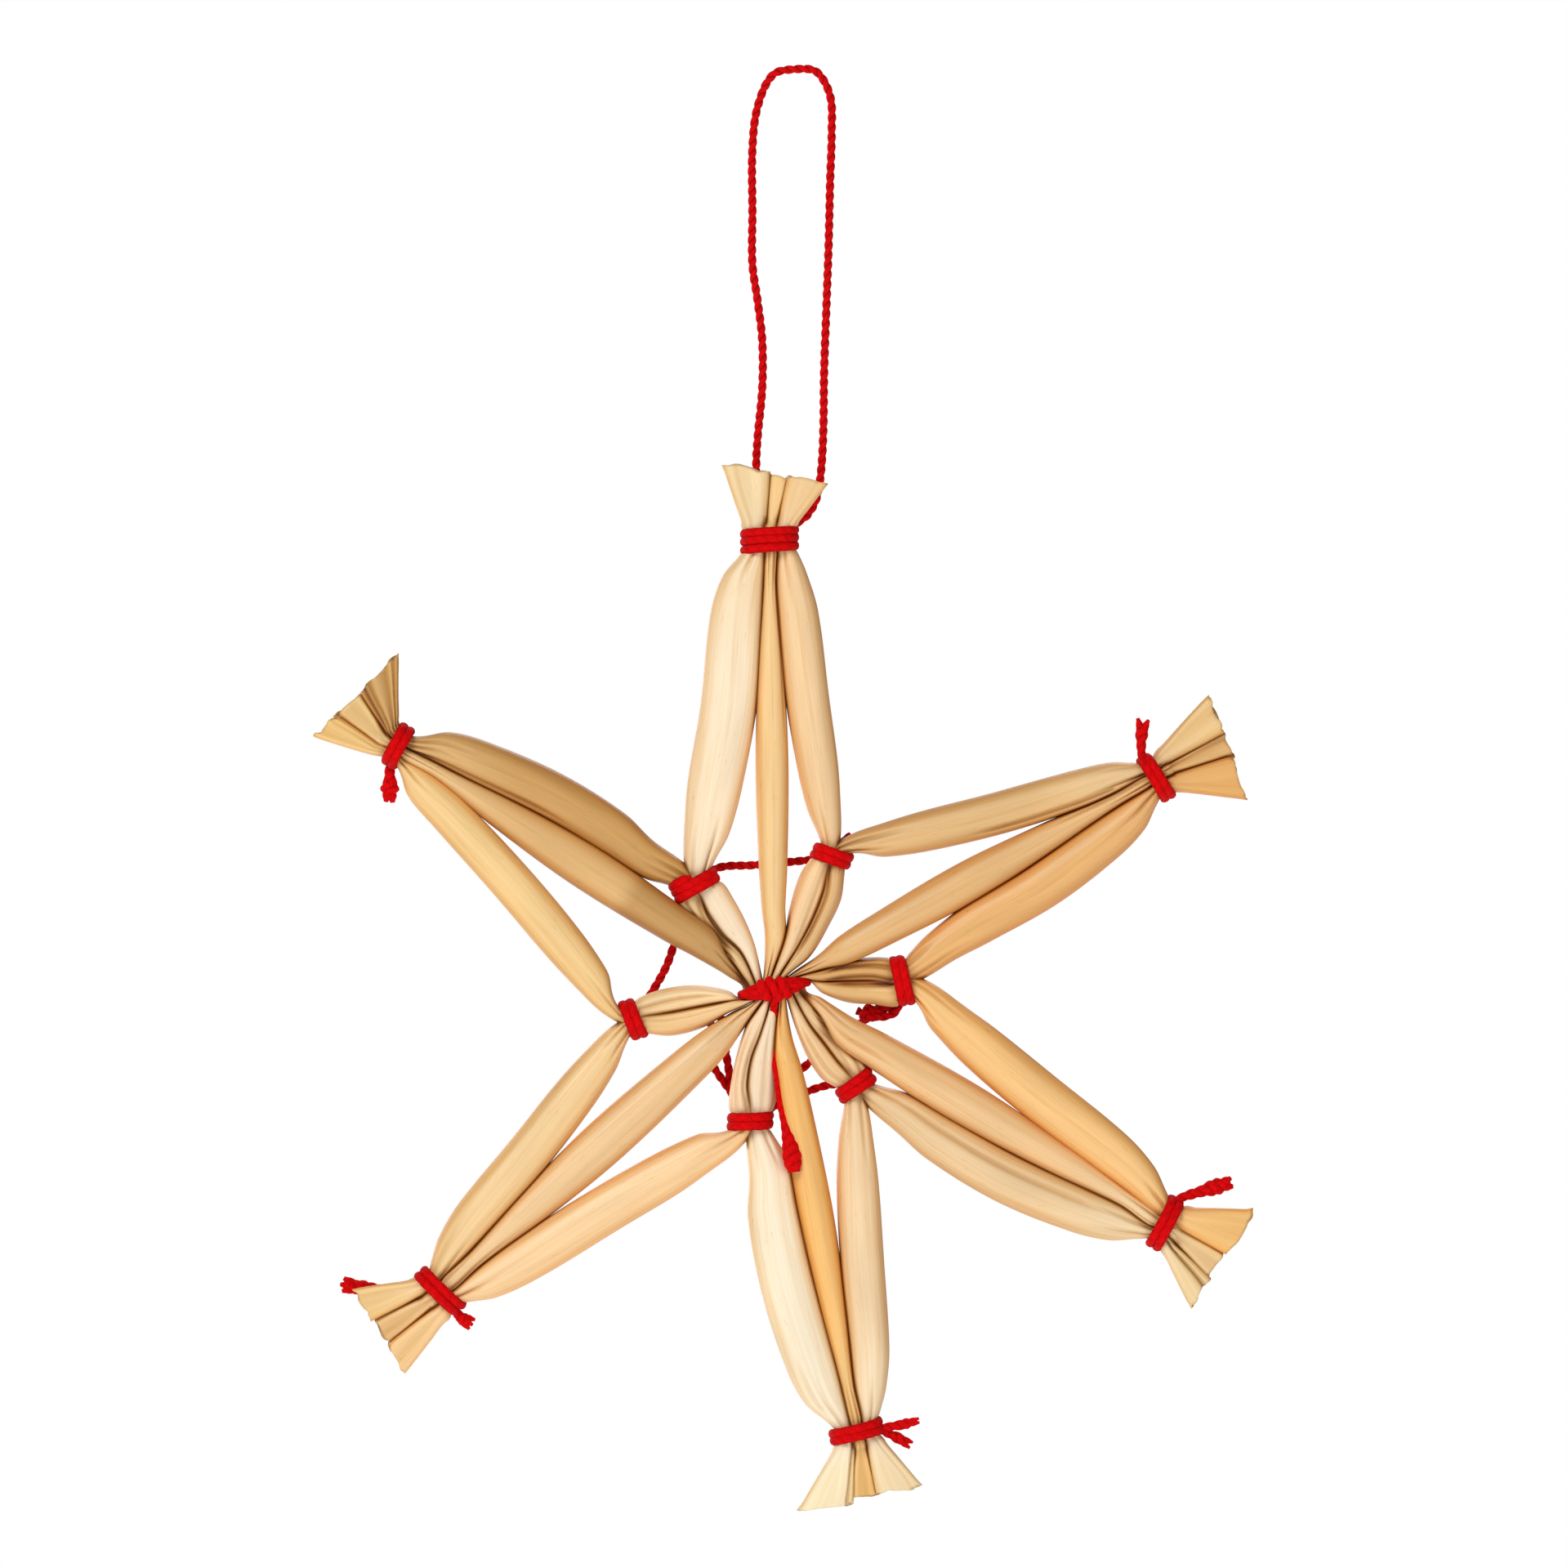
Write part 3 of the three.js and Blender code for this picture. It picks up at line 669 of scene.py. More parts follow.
def rows_along(stations):
    """Evenly spaced rows from the first station to the last, and where along them the ties are."""
    places = [s["place"] for s in stations]
    knots = knots_along(places)
    acrosses = [s["across"] for s in stations]
    curves = {
        "place": (places, slopes_through(places, knots)),
        "across": (acrosses, slopes_through(acrosses, knots)),
    }
    for key in SIZES:
        values = [s[key] for s in stations]
        curves[key] = (values, tamed(values, slopes_through(values, knots)))
    count = math.ceil(knots[-1] / STRAW_STEP)
    rows = []
    for i in range(count + 1):
        distance = knots[-1] * i / count
        row = {key: curve_value(*curve, knots, distance) for key, curve in curves.items()}
        row["across"] = row["across"].normalized()
        row["along"] = distance
        rows.append(row)
    ties = [knot for knot, s in zip(knots, stations) if s["held"]]
    return rows, ties


def section(row, turn, deep, swell):
    """The offset of a straw's skin from its centre line, at a turn round it."""
    corner = 2 / (2 + 1.6 * row["flatness"])
    side = math.copysign(abs(math.cos(turn)) ** corner, math.cos(turn)) * row["width"] / 2
    face = math.copysign(abs(math.sin(turn)) ** corner, math.sin(turn)) * row["depth"] / 2
    side *= (1 - deep * 0.2) * swell
    face *= (1 - deep) * swell
    tilt = math.radians(row["turn"])
    along_side = row["across"] * math.cos(tilt) + FRONT * math.sin(tilt)
    along_face = FRONT * math.cos(tilt) - row["across"] * math.sin(tilt)
    return along_side * side + along_face * face


def axis_marks():
    """A search tree of places on all the straws' axes, and for each its straw, radius and heading."""
    places, marks = [], []
    for index, half in enumerate(HALVES):
        rows = half["rows"]
        for before, row, after in zip(rows, rows[1:], rows[2:]):
            course = (after["place"] - before["place"]).normalized()
            places.append(row["place"])
            marks.append((straw_and_way(index)[0], (row["width"] + row["depth"]) / 4, course))
    tree = kdtree.KDTree(len(places))
    for mark, place in enumerate(places):
        tree.insert(place, mark)
    tree.balance()
    return tree, marks


def neighbours_of(row, straw, tree, marks):
    """The axis of each other straw that lies beside a row: a place, its heading and the radius."""
    nearest = {}
    for place, mark, distance in tree.find_range(row["place"], SEARCH_REACH):
        other, radius, course = marks[mark]
        if other != straw and (other not in nearest or distance < nearest[other][0]):
            nearest[other] = (distance, place, course, radius)
    return [(place, course, radius) for _, place, course, radius in nearest.values()]


def tone_along(half, along):
    """The tone of a half straw's skin at a distance from the centre."""
    tip_tie = half["ties"][-1]
    waist = min(half["ties"][0], USUAL_WAIST)
    inside = 1 - ease((along - waist + 0.8) / 1.6)
    outside = ease((along - tip_tie + 9) / 8)
    golden = ease((along - tip_tie - 0.8) / 2)
    tones = []
    for channel, tint in enumerate(FRINGE_TINT):
        tone = blend(half["tone"][channel], half["inner"][channel], inside)
        tone = blend(tone, half["tip"][channel], outside)
        tones.append(tone * blend(1, tint, golden))
    return tones


def base_tone(half, partner, along):
    """The tone at a distance from the centre, where the two halves of a straw blend."""
    shared = 0.5 * ease(1 - along / 1.5)
    tones = zip(tone_along(half, along), tone_along(partner, 0))
    return [blend(own, other, shared) for own, other in tones]


def crowding(place, beside):
    """How much the straws beside a place shade it."""
    crowd = 0.0
    for centre, course, radius in beside:
        gap = (place - centre).cross(course).length - radius
        crowd = max(crowd, clamp(1 - gap / CREVICE))
    return crowd


def straw_sheet(upper, lower):
    """The rows of a straw's skin, from the end of its lower half to the end of its upper one, and
    those of the hollow in both ends. Each has its half, the half's way and how far it is set in."""
    inside = [round(i * HOLLOW_DEPTH / STRAW_STEP / HOLLOW_ROWS) for i in range(HOLLOW_ROWS + 1)]
    sheet = [(lower["rows"][-1 - i], lower, -1, WALL) for i in reversed(inside)]
    sheet += [(row, lower, -1, 0.0) for row in reversed(lower["rows"])]
    sheet += [(row, upper, 1, 0.0) for row in upper["rows"][1:]]
    sheet += [(upper["rows"][-1 - i], upper, 1, WALL) for i in inside]
    return sheet


def make_straw(straw, tree, marks, material):
    """One straw, which goes on through the centre from its lower half to its upper half."""
    upper, lower = HALVES[straw], HALVES[2 * STRAWS - 1 - straw]
    sheet = straw_sheet(upper, lower)
    bm, table = wrapped_grid(len(sheet), STRAW_SIDES)
    tone_layer = bm.verts.layers.float_color["tone"]
    crease_layer = bm.verts.layers.float["crease"]
    flank_layer = bm.verts.layers.float["flank"]
    along_sheet = []
    for (row, half, way, inset), verts in zip(sheet, table):
        along, end = row["along"], half["rows"][-1]["along"]
        pressed = creases_at(half["creases"], along)
        beside = neighbours_of(row, straw, tree, marks)
        # Painted shade next to the ties, fading away from them.
        from_tie = min(max(abs(along - tie) - TIE_COVER, 0) for tie in (0.0, *half["ties"]))
        tied = TIE_SHADE * math.exp(-from_tie / TIE_SHADE_REACH)
        ragged = ease((along - end + RAGGED_LENGTH) / RAGGED_LENGTH)
        outward = heading(math.degrees(math.atan2(row["across"].x, row["across"].z)) - 90)
        base = base_tone(half, lower if way > 0 else upper, along)
        along_sheet.append(way * (along + (HOLLOW_SHIFT if inset else 0.0)))
        for column, vert in enumerate(verts):
            sheet_turn = 2 * math.pi * (column % STRAW_SIDES) / STRAW_SIDES
            turn = sheet_turn if way > 0 else math.pi - sheet_turn
            round_place = Vector((math.cos(turn), math.sin(turn), straw * 5.7 + way * along * 0.11))
            deep, dark = skin_at(pressed, turn)
            offset = section(row, turn, deep, 1 + SWELLING * noise.noise(round_place))
            if inset:
                offset *= max(0.2, 1 - inset / max(offset.length, 0.2))
                dark = max(dark, HOLLOW_SHADE)
            place = row["place"] + offset
            if ragged:
                torn = Vector((math.cos(turn) * 1.7, math.sin(turn) * 0.8, straw * 3.7 + way))
                place += outward * (RAGGED_STEP * noise.noise(torn) * ragged)
            vert.co = (place + STAR_CENTRE) * MM
            change = 1 + TONE_CHANGE * noise.noise(round_place * 1.9 + Vector((0, 0, 9)))
            vert[tone_layer] = (*(tone * change for tone in base), 1.0)
            # Painted shade: in the crevices beside other straws, next to the ties, in the hollow ends and
            # in the creases.
            crowd = max(tied, crowding(place, beside))
            vert[crease_layer] = clamp(max(dark, CREVICE_SHADE * crowd**1.3))
            # Painted shade on both sides of the straw is driven by this.
            vert[flank_layer] = abs(math.cos(turn)) ** 3
    write_uvs(bm, table, SKIN_AROUND, along_sheet)
    close_tube(bm)
    return piece_from(bm, f"straw_{straw + 1}_skin", material, f"straw_{straw + 1}")


# ---------------------------------------------------------------- materials


def node_maker(material):
    """Helpers that make a material's nodes, set their sockets by name and link them."""
    material.use_nodes = True
    tree = material.node_tree

    def node(kind, **values):
        made = tree.nodes.new(kind)
        for name, value in values.items():
            setattr(made, name, value)
        return made

    def put(made, **values):
        for name, value in values.items():
            made.inputs[name.replace("_", " ")].default_value = value
        return made

    return node, put, tree.links.new, tree.nodes["Principled BSDF"]


GOLDEN_STREAK = (0.88, 0.7, 0.46)
BROWN_FLECK = (0.66, 0.45, 0.22)
# Painted shade: tan on both sides of a straw, dark brown in its creases, crevices, hollows and next to
# ties.
FLANK_SHADE_TAN = (0.84, 0.68, 0.46)
CREASE_SHADE_BROWN = (0.2, 0.125, 0.06)


def straw_finish():
    """Dried straw: long fine fibres, golden streaks, a satin skin, and painted shade, brown, in the
    creases and crevices and on the sides.
    """
    material = bpy.data.materials.new("dried_straw")
    node, put, link, shader = node_maker(material)
    uv = node("ShaderNodeUVMap", uv_map="lengthwise")
    tone = node("ShaderNodeAttribute", attribute_name="tone")
    crease_mark = node("ShaderNodeAttribute", attribute_name="crease")
    flank = node("ShaderNodeAttribute", attribute_name="flank")

    def lengthwise_noise(across, along, detail, roughness):
        grid = put(node("ShaderNodeMapping"), Scale=(across, along, 1.0))
        made = put(node("ShaderNodeTexNoise"), Scale=1.0, Detail=detail, Roughness=roughness)
        link(uv.outputs["UV"], grid.inputs["Vector"])
        link(grid.outputs["Vector"], made.inputs["Vector"])
        return made.outputs["Fac"]

    def ranged(source, low, high, to_low, to_high):
        made = put(node("ShaderNodeMapRange"), From_Min=low, From_Max=high)
        put(made, To_Min=to_low, To_Max=to_high)
        link(source, made.inputs["Value"])
        return made.outputs["Result"]

    def tinted(source, factor, colour):
        made = node("ShaderNodeMix", data_type="RGBA", blend_type="MULTIPLY")
        made.inputs["B"].default_value = (*colour, 1.0)
        link(factor, made.inputs["Factor"])
        link(source, made.inputs["A"])
        return made.outputs["Result"]

    fibres = lengthwise_noise(7.0, 0.14, 5.0, 0.65)
    streaks = lengthwise_noise(1.5, 0.05, 3.0, 0.6)
    flecks = lengthwise_noise(3.2, 0.75, 2.0, 0.5)

    lit = node("ShaderNodeVectorMath", operation="SCALE")
    link(tone.outputs["Color"], lit.inputs[0])
    link(ranged(fibres, 0.3, 0.7, 0.94, 1.06), lit.inputs["Scale"])
    colour = tinted(lit.outputs["Vector"], ranged(streaks, 0.48, 0.76, 0.0, 0.6), GOLDEN_STREAK)
    colour = tinted(colour, ranged(flecks, 0.66, 0.8, 0.0, 0.45), BROWN_FLECK)
    # Painted shade, tan, on both sides of the straw.
    colour = tinted(colour, ranged(flank.outputs["Fac"], 0.1, 1.0, 0.0, 0.6), FLANK_SHADE_TAN)
    # Painted shade also deepens and warms the colour by a gamma, on the sides and in the creases and
    # crevices.
    depth = node("ShaderNodeMath", operation="MULTIPLY_ADD")
    depth.inputs[1].default_value = 0.4
    link(flank.outputs["Fac"], depth.inputs[0])
    link(crease_mark.outputs["Fac"], depth.inputs[2])
    shade_warmth = node("ShaderNodeGamma")
    link(colour, shade_warmth.inputs["Color"])
    link(ranged(depth.outputs["Value"], 0.0, 1.0, 1.0, 2.1), shade_warmth.inputs["Gamma"])
    # Painted shade, dark brown, in the creases and crevices, in the hollows and next to the ties.
    darkness = ranged(crease_mark.outputs["Fac"], 0.0, 1.0, 0.0, 1.0)
    link(tinted(shade_warmth.outputs["Color"], darkness, CREASE_SHADE_BROWN), shader.inputs["Base Color"])
    link(ranged(fibres, 0.3, 0.7, 0.5, 0.36), shader.inputs["Roughness"])

    bump = put(node("ShaderNodeBump"), Strength=0.35, Distance=0.00005)
    link(fibres, bump.inputs["Height"])
    link(bump.outputs["Normal"], shader.inputs["Normal"])
    put(shader, Specular_IOR_Level=0.4, Coat_Weight=0.1, Coat_Roughness=0.28)
    return material


# The thread's two shades, each with its place on the range of the fibres, and the tint of the
# painted shade between the plies, where the thread tucks in and where it runs behind.
THREAD_SHADES = ((0.3, (0.42, 0.0, 0.004, 1.0)), (0.62, (0.86, 0.001, 0.001, 1.0)))
GROOVE_SHADE_TINT = (0.36, 0.3, 0.6, 1.0)


def thread_finish():
    """Red cotton thread: matte fibres that follow the twist, with painted shade between the plies."""
    material = bpy.data.materials.new("red_cotton")
    node, put, link, shader = node_maker(material)
    uv = node("ShaderNodeUVMap", uv_map="lengthwise")
    groove_shade = node("ShaderNodeAttribute", attribute_name="crease")
    grid = put(node("ShaderNodeMapping"), Rotation=(0, 0, math.radians(32)), Scale=(14.0, 2.4, 1.0))
    fibres = put(node("ShaderNodeTexNoise"), Scale=1.0, Detail=4.0, Roughness=0.7)
    link(uv.outputs["UV"], grid.inputs["Vector"])
    link(grid.outputs["Vector"], fibres.inputs["Vector"])
    colours = node("ShaderNodeValToRGB")
    for element, (position, colour) in zip(colours.color_ramp.elements, THREAD_SHADES):
        element.position = position
        element.color = colour
    link(fibres.outputs["Fac"], colours.inputs["Fac"])
    # Painted shade: darker between the plies, where wound thread tucks in and where it runs behind.
    shaded = node("ShaderNodeMix", data_type="RGBA", blend_type="MULTIPLY")
    shaded.inputs["B"].default_value = GROOVE_SHADE_TINT
    link(groove_shade.outputs["Fac"], shaded.inputs["Factor"])
    link(colours.outputs["Color"], shaded.inputs["A"])
    link(shaded.outputs["Result"], shader.inputs["Base Color"])
    bump = put(node("ShaderNodeBump"), Strength=0.5, Distance=0.00006)
    link(fibres.outputs["Fac"], bump.inputs["Height"])
    link(bump.outputs["Normal"], shader.inputs["Normal"])
    put(shader, Roughness=0.7, Specular_IOR_Level=0.06, Sheen_Weight=0.04)
    shader.inputs["Sheen Tint"].default_value = (1.0, 0.2, 0.15, 1.0)
    return material


# ---------------------------------------------------------------- thread

PLY_PITCH = 1.3  # one full turn of the two plies
THREAD_SIDES = 14
THREAD_STEP = 0.09
USUAL_PLY = 0.3  # how deep the groove between the plies is, as a share of the radius
LOOP_PLY = 0.34
WOUND_PLY = 0.08


def girth_at(girths, share):
    """The factor on a thread's thickness at a share of its length."""
    step = 0
    while step < len(girths) - 2 and share > girths[step + 1][0]:
        step += 1
    (low, thin), (high, thick) = girths[step], girths[step + 1]
    return blend(thin, thick, ease((share - low) / (high - low)))


def lay_thread(target, points, thickness=THREAD, girths=((0, 1), (1, 1)), core=None, flat=1.0,
               ply=USUAL_PLY, shade=0.0):
    """Adds a closed length of twisted two-ply thread along a route to a bmesh. Girths are pairs of
    a share of the length and a factor on the thickness. Thread wound on a core, a place and the
    heading of its axis, is pressed flat and has painted shade where it tucks in. The grooves between
    the plies get painted shade too, and shade adds painted shade all along the length."""
    route = smooth_route(points, THREAD_STEP)
    last = len(route) - 1
    bm, table = wrapped_grid(len(route), THREAD_SIDES)
    crease_layer = bm.verts.layers.float["crease"]
    normal = (route[1] - route[0]).orthogonal().normalized()
    along = []
    distance = 0.0
    for i, verts in enumerate(table):
        if i:
            distance += (route[i] - route[i - 1]).length
        tangent = (route[min(i + 1, last)] - route[max(i - 1, 0)]).normalized()
        if core:
            middle, axis = core
            out = route[i] - middle
            normal = out - axis * out.dot(axis)
        normal = (normal - tangent * normal.dot(tangent)).normalized()
        sideways = tangent.cross(normal)
        girth = girth_at(girths, i / last)
        twist = 2 * math.pi * distance / PLY_PITCH
        along.append(distance)
        for column, vert in enumerate(verts):
            turn = 2 * math.pi * (column % THREAD_SIDES) / THREAD_SIDES
            lobe = abs(math.cos(turn - twist))
            radius = thickness / 2 * (1.04 - ply + ply * lobe) * girth
            offset = normal * (math.cos(turn) * radius / flat)
            offset += sideways * (math.sin(turn) * radius * flat)
            vert.co = (route[i] + offset + STAR_CENTRE) * MM
            # Painted shade in the groove between the plies, plus any shade given.
            dark = clamp(1 - lobe * 1.7) * ply / USUAL_PLY + shade
            if core:
                # Painted shade where wound thread tucks in between turns and round the sides of the
                # bundle.
                dark += clamp(abs(math.sin(turn)) - 0.62) * 1.2 + 0.5 * (1 - abs(normal.y)) ** 2
            vert[crease_layer] = clamp(dark)
    write_uvs(bm, table, thickness * math.pi, along)
    close_tube(bm)
    length = bpy.data.meshes.new("length")
    bm.to_mesh(length)
    bm.free()
    target.from_mesh(length)
    bpy.data.meshes.remove(length)


def unfolded(stops):
    """Places by their distances to the right of the centre, above it and behind it."""
    return [Vector((right, behind, up)) for right, up, behind in stops]


WINDING_STEPS = 20  # of a turn
WANDER = 0.07
PRESSED = 0.42  # how far the thread's middle is from the bundle, in thicknesses
TUCK_GIRTH = 0.3
KNOT_BEHIND = 0.45  # how far a knot is behind its bundle


def winding(centre, degrees, half_width, half_depth, turns, pitch, rng):
    """Points of a thread wound round an oval bundle that runs along a heading, from its back."""
    points = []
    drift = [rng.uniform(-WANDER, WANDER) for _ in range(math.ceil(turns) + 2)]
    for i in range(round(turns * WINDING_STEPS) + 1):
        progress = i / WINDING_STEPS
        turn = 2 * math.pi * progress + math.pi / 2
        index = int(progress)
        wander = blend(drift[index], drift[index + 1], ease(progress - index))
        width, depth = half_width + THREAD * PRESSED, half_depth + THREAD * PRESSED
        oval = at(degrees, 0, math.cos(turn) * width, math.sin(turn) * depth)
        points.append(centre + oval + heading(degrees) * ((progress - turns / 2) * pitch + wander))
    return points


def wind(target, centre, degrees, half_width, half_depth, turns, pitch, flat, rng):
    """Winds thread round a bundle. Both ends of it are thin, as they tuck in behind."""
    points = winding(centre, degrees, half_width, half_depth, turns, pitch, rng)
    tuck = 0.06 / turns
    girths = ((0, TUCK_GIRTH), (tuck, 1), (1 - tuck, 1), (1, TUCK_GIRTH))
    core = (centre, heading(degrees))
    lay_thread(target, points, girths=girths, core=core, flat=flat, ply=WOUND_PLY)


def knot(target, place, size, lean, shade=0.0):
    """A small overhand knot in the thread."""
    points = []
    for i in range(25):
        t = 2 * math.pi * i / 24
        across = math.sin(t) + 2 * math.sin(2 * t)
        up = math.cos(t) - 2 * math.cos(2 * t)
        turned = at(lean, up * size * 0.21, across * size * 0.21, -math.sin(3 * t) * size * 0.3)
        points.append(place + turned)
    lay_thread(target, points, thickness=THREAD * 0.8, ply=0.14, shade=shade)


def frayed_end(target, points, girth, strands, spread, rng):
    """A loose end of thread that grows to a girth, where its plies come apart into strands."""
    girths = ((0, 0.85), (0.5, blend(1, girth, 0.3)), (0.85, girth), (1, girth * 0.7))
    lay_thread(target, points, thickness=THREAD * 0.95, girths=girths, ply=0.2)
    end = points[-1]
    way = (end - points[-2]).normalized()
    aside = way.cross(BACK).normalized()
    thickness = THREAD * girth * 0.5
    for i in range(strands):
        out = (i - (strands - 1) / 2) / max(strands - 1, 1) * 2
        lift = rng.uniform(-0.25, 0.25)
        tip = end + way * rng.uniform(0.3, 0.6) + aside * (out * spread) + BACK * lift
        start = end - way * 0.6 + aside * (out * spread * 0.3)
        halfway = end + aside * (out * spread * 0.6) + BACK * (lift * 0.4)
        girths = ((0, 0.9), (0.6, 1), (1, 0.5))
        lay_thread(target, [start, halfway, tip], thickness=thickness, girths=girths, ply=0.1)


# The loose ends of the tip ties: stops beyond the tie, aside of it and behind it, and then how many
# times the thread's girth they grow to, into how many strands they fray, and how far those spread.
LOOSE_ENDS = [
    [([(-0.1, -0.9, 0.5), (-0.2, -1.4, 0.4), (-0.9, -2.5, 0.4), (-1.2, -3.0, 0.3)], 2.4, 2, 0.22)],
    [],
    [([(-0.2, -1.2, -0.7), (-0.2, -1.6, -0.3), (0.3, -2.6, 0), (0.9, -3.5, 0)], 1.7, 2, 0.36)],
    [([(0, -1.3, -0.7), (0, -1.8, -0.2), (1.2, -3.2, 0), (2.2, -4.3, 0)], 2.15, 3, 0.3)],
    [
        ([(0.1, -1.3, -0.6), (0.1, -1.7, -0.2), (0.15, -3.0, 0), (0.1, -3.7, 0)], 1.4, 2, 0.14),
        ([(0.2, -1.4, -0.3), (0.4, -1.8, 0.1), (0.9, -2.5, 0.4), (1.3, -3.0, 0.4)], 1.5, 2, 0.2),
    ],
    [
        ([(0.3, 1.2, 1.1), (2.0, 1.8, 1.5), (3.5, 3.1, 1.3), (4.35, 4.25, 0.9)], 2.1, 3, 0.42),
        ([(0.2, -1.4, -0.5), (0.2, -1.8, -0.2), (0.2, -2.3, 0), (0.1, -2.65, 0)], 1.7, 3, 0.36),
    ],
]

# Runs of the binding thread behind the straws: a waist, places on the way by their distances to
# the right of the centre and above it, and the next waist.
BINDING_RUNS = [
    (0, ((-3.8, 7.95), (-1.4, 8.15), (2.4, 8.5)), 1),
    (0, ((-6.2, 4.4), (-7.1, 1.6), (-8.2, -0.4)), 5),
    (5, ((-7.2, -1.6), (-5.2, -1.5), (-4.1, -2.7), (-4.35, -4.5), (-3.0, -6.75)), 4),
    (5, ((-7.0, -1.0), (-5.0, -0.8), (-3.6, -1.9), (-3.3, -3.8), (-3.05, -5.3), (-2.85, -6.6)), 4),
    (4, ((0.6, -7.6), (2.85, -6.65), (4.35, -6.35)), 3),
    (2, ((6.3, -1.9), (4.4, -3.2), (2.5, -4.8), (0.3, -6.8)), 4),
]
SPAN_BEHIND = 1.62
SHADE_BEHIND = 0.3
WAIST_TURNS = (2.5, 2, 2, 2, 2, 2)
TIP_TURNS = (2, 3, 2, 2, 2, 2)
TIP_PITCH = 0.52
WAIST_PITCH = 0.5

# Two strands from the waist on the right, where the thread starts, the knot that they lead to, and
# the thread's short end at the waist before it: distances to the right, above and behind.
BINDING_STRANDS = [
    [(8.3, -1.0, 0.3), (8.0, -1.6, 0.6), (7.2, -1.9, 0.9), (6.3, -1.85, 1.1), (5.5, -1.5, 1.3)],
    [(8.1, -0.9, 0.7), (7.6, -1.3, 0.9), (6.9, -1.45, 1.0), (6.2, -1.4, 1.2)],
]
BINDING_KNOT = (6.25, -1.7, 1.0)
BINDING_END = [(4.3, 9.2, 0.9), (4.6, 9.8, 0.9), (5.1, 10.15, 0.8)]
SHADE_BELOW = 0.4

# The two ends of the loop's thread, from the loop's own route into the tie of the upper point.
LOOP_POINT = 1
LOOP_ENDS = [
    [(-2.42, 1.5, -29.2), (-2.4, 1.5, -29.6), (-2.3, 1.35, -30.1), (-2.2, 1.2, -30.6)],
    [(0.6, 1.5, -29.35), (0.2, 1.45, -29.68), (-0.05, 1.1, -30.1), (-0.05, 0.6, -30.5)],
]


def make_tip_tie(index, material):
    """The tie round the three straws of a point, with its knot behind and its loose ends."""
    point = SECTORS[index]["point"]
    rng = random.Random(20 + index)
    bm = marked_bmesh()
    centre = at(point["heading"], point["reach"])
    half_width, half_depth = point["tie"] / 2 - THREAD + 0.08, PINCH_DEPTH / 2 + 0.3
    turns = TIP_TURNS[index]
    flat = 1.12 if turns == 2 else 1.08
    wind(bm, centre, point["heading"], half_width, half_depth, turns, TIP_PITCH, flat, rng)
    knot(bm, centre + BACK * (half_depth + KNOT_BEHIND), 0.8, point["heading"])
    for stops, *ending in LOOSE_ENDS[index]:
        places = [centre + at(point["heading"], *stop) for stop in stops]
        frayed_end(bm, places, *ending, rng)
    if index == LOOP_POINT:
        for stops in LOOP_ENDS:
            places = [Vector(stop) - STAR_CENTRE for stop in stops]
            lay_thread(bm, places, thickness=THREAD * 0.96, ply=LOOP_PLY)
    piece_from(bm, f"tip_tie_{index + 1}_thread", material, f"tip_tie_{index + 1}")


def make_binding_thread(material):
    """One thread that winds round all six waists and runs behind the straws from waist to waist."""
    bm = marked_bmesh()
    for index, sector in enumerate(SECTORS):
        waist = sector["waist"]
        rng = random.Random(40 + index)
        centre = at(waist["heading"], waist["reach"])
        turned = waist["heading"] + waist["tilt"]
        half_width, half_depth = waist["tie"] / 2 - THREAD + 0.14, PINCH_DEPTH / 2 + 0.25
        turns = WAIST_TURNS[index]
        wind(bm, centre, turned, half_width, half_depth, turns, WAIST_PITCH, 1.16, rng)
        knot(bm, centre + BACK * (half_depth + KNOT_BEHIND), 0.7, turned)
    for first, stops, last in BINDING_RUNS:
        waists = [SECTORS[index]["waist"] for index in (first, last)]
        start, end = (at(waist["heading"], waist["reach"] - 0.1) for waist in waists)
        places = [start, *(Vector((x, 0, z)) for x, z in stops), end]
        lay_thread(bm, [place + BACK * SPAN_BEHIND for place in places], shade=SHADE_BEHIND)
    for stops in BINDING_STRANDS:
        lay_thread(bm, unfolded(stops), shade=SHADE_BELOW)
    knot(bm, *unfolded([BINDING_KNOT]), 0.72, 60, shade=SHADE_BELOW)
    lay_thread(bm, unfolded(BINDING_END), thickness=0.5, shade=SHADE_BEHIND)
    piece_from(bm, "binding_thread_wound", material, "binding_thread")


# The turns of the centre tie: how high they stand in the middle of it, and how far off the straws
# they lie in front and at its ends. The wraps of its knot: how far aside, their lean and height.
CENTRE_TURNS = ((-0.34, 0.16, 0.05), (0.34, 0.16, 0.12), (0.0, 0.3, 0.26))
CENTRE_WRAPS = ((-0.66, -26, 0.5), (0.0, -32, 0.64), (0.64, -28, 0.52))
DROP = [
    (-0.02, -1.1, -1.1), (-0.08, -2.2, -0.4), (-0.02, -4.4, -0.35), (0.22, -5.9, -0.8),
    (0.36, -7.3, -0.95), (0.68, -8.9, -1.15), (1.1, -10.6, -1.4), (1.3, -12.1, -1.5),
]


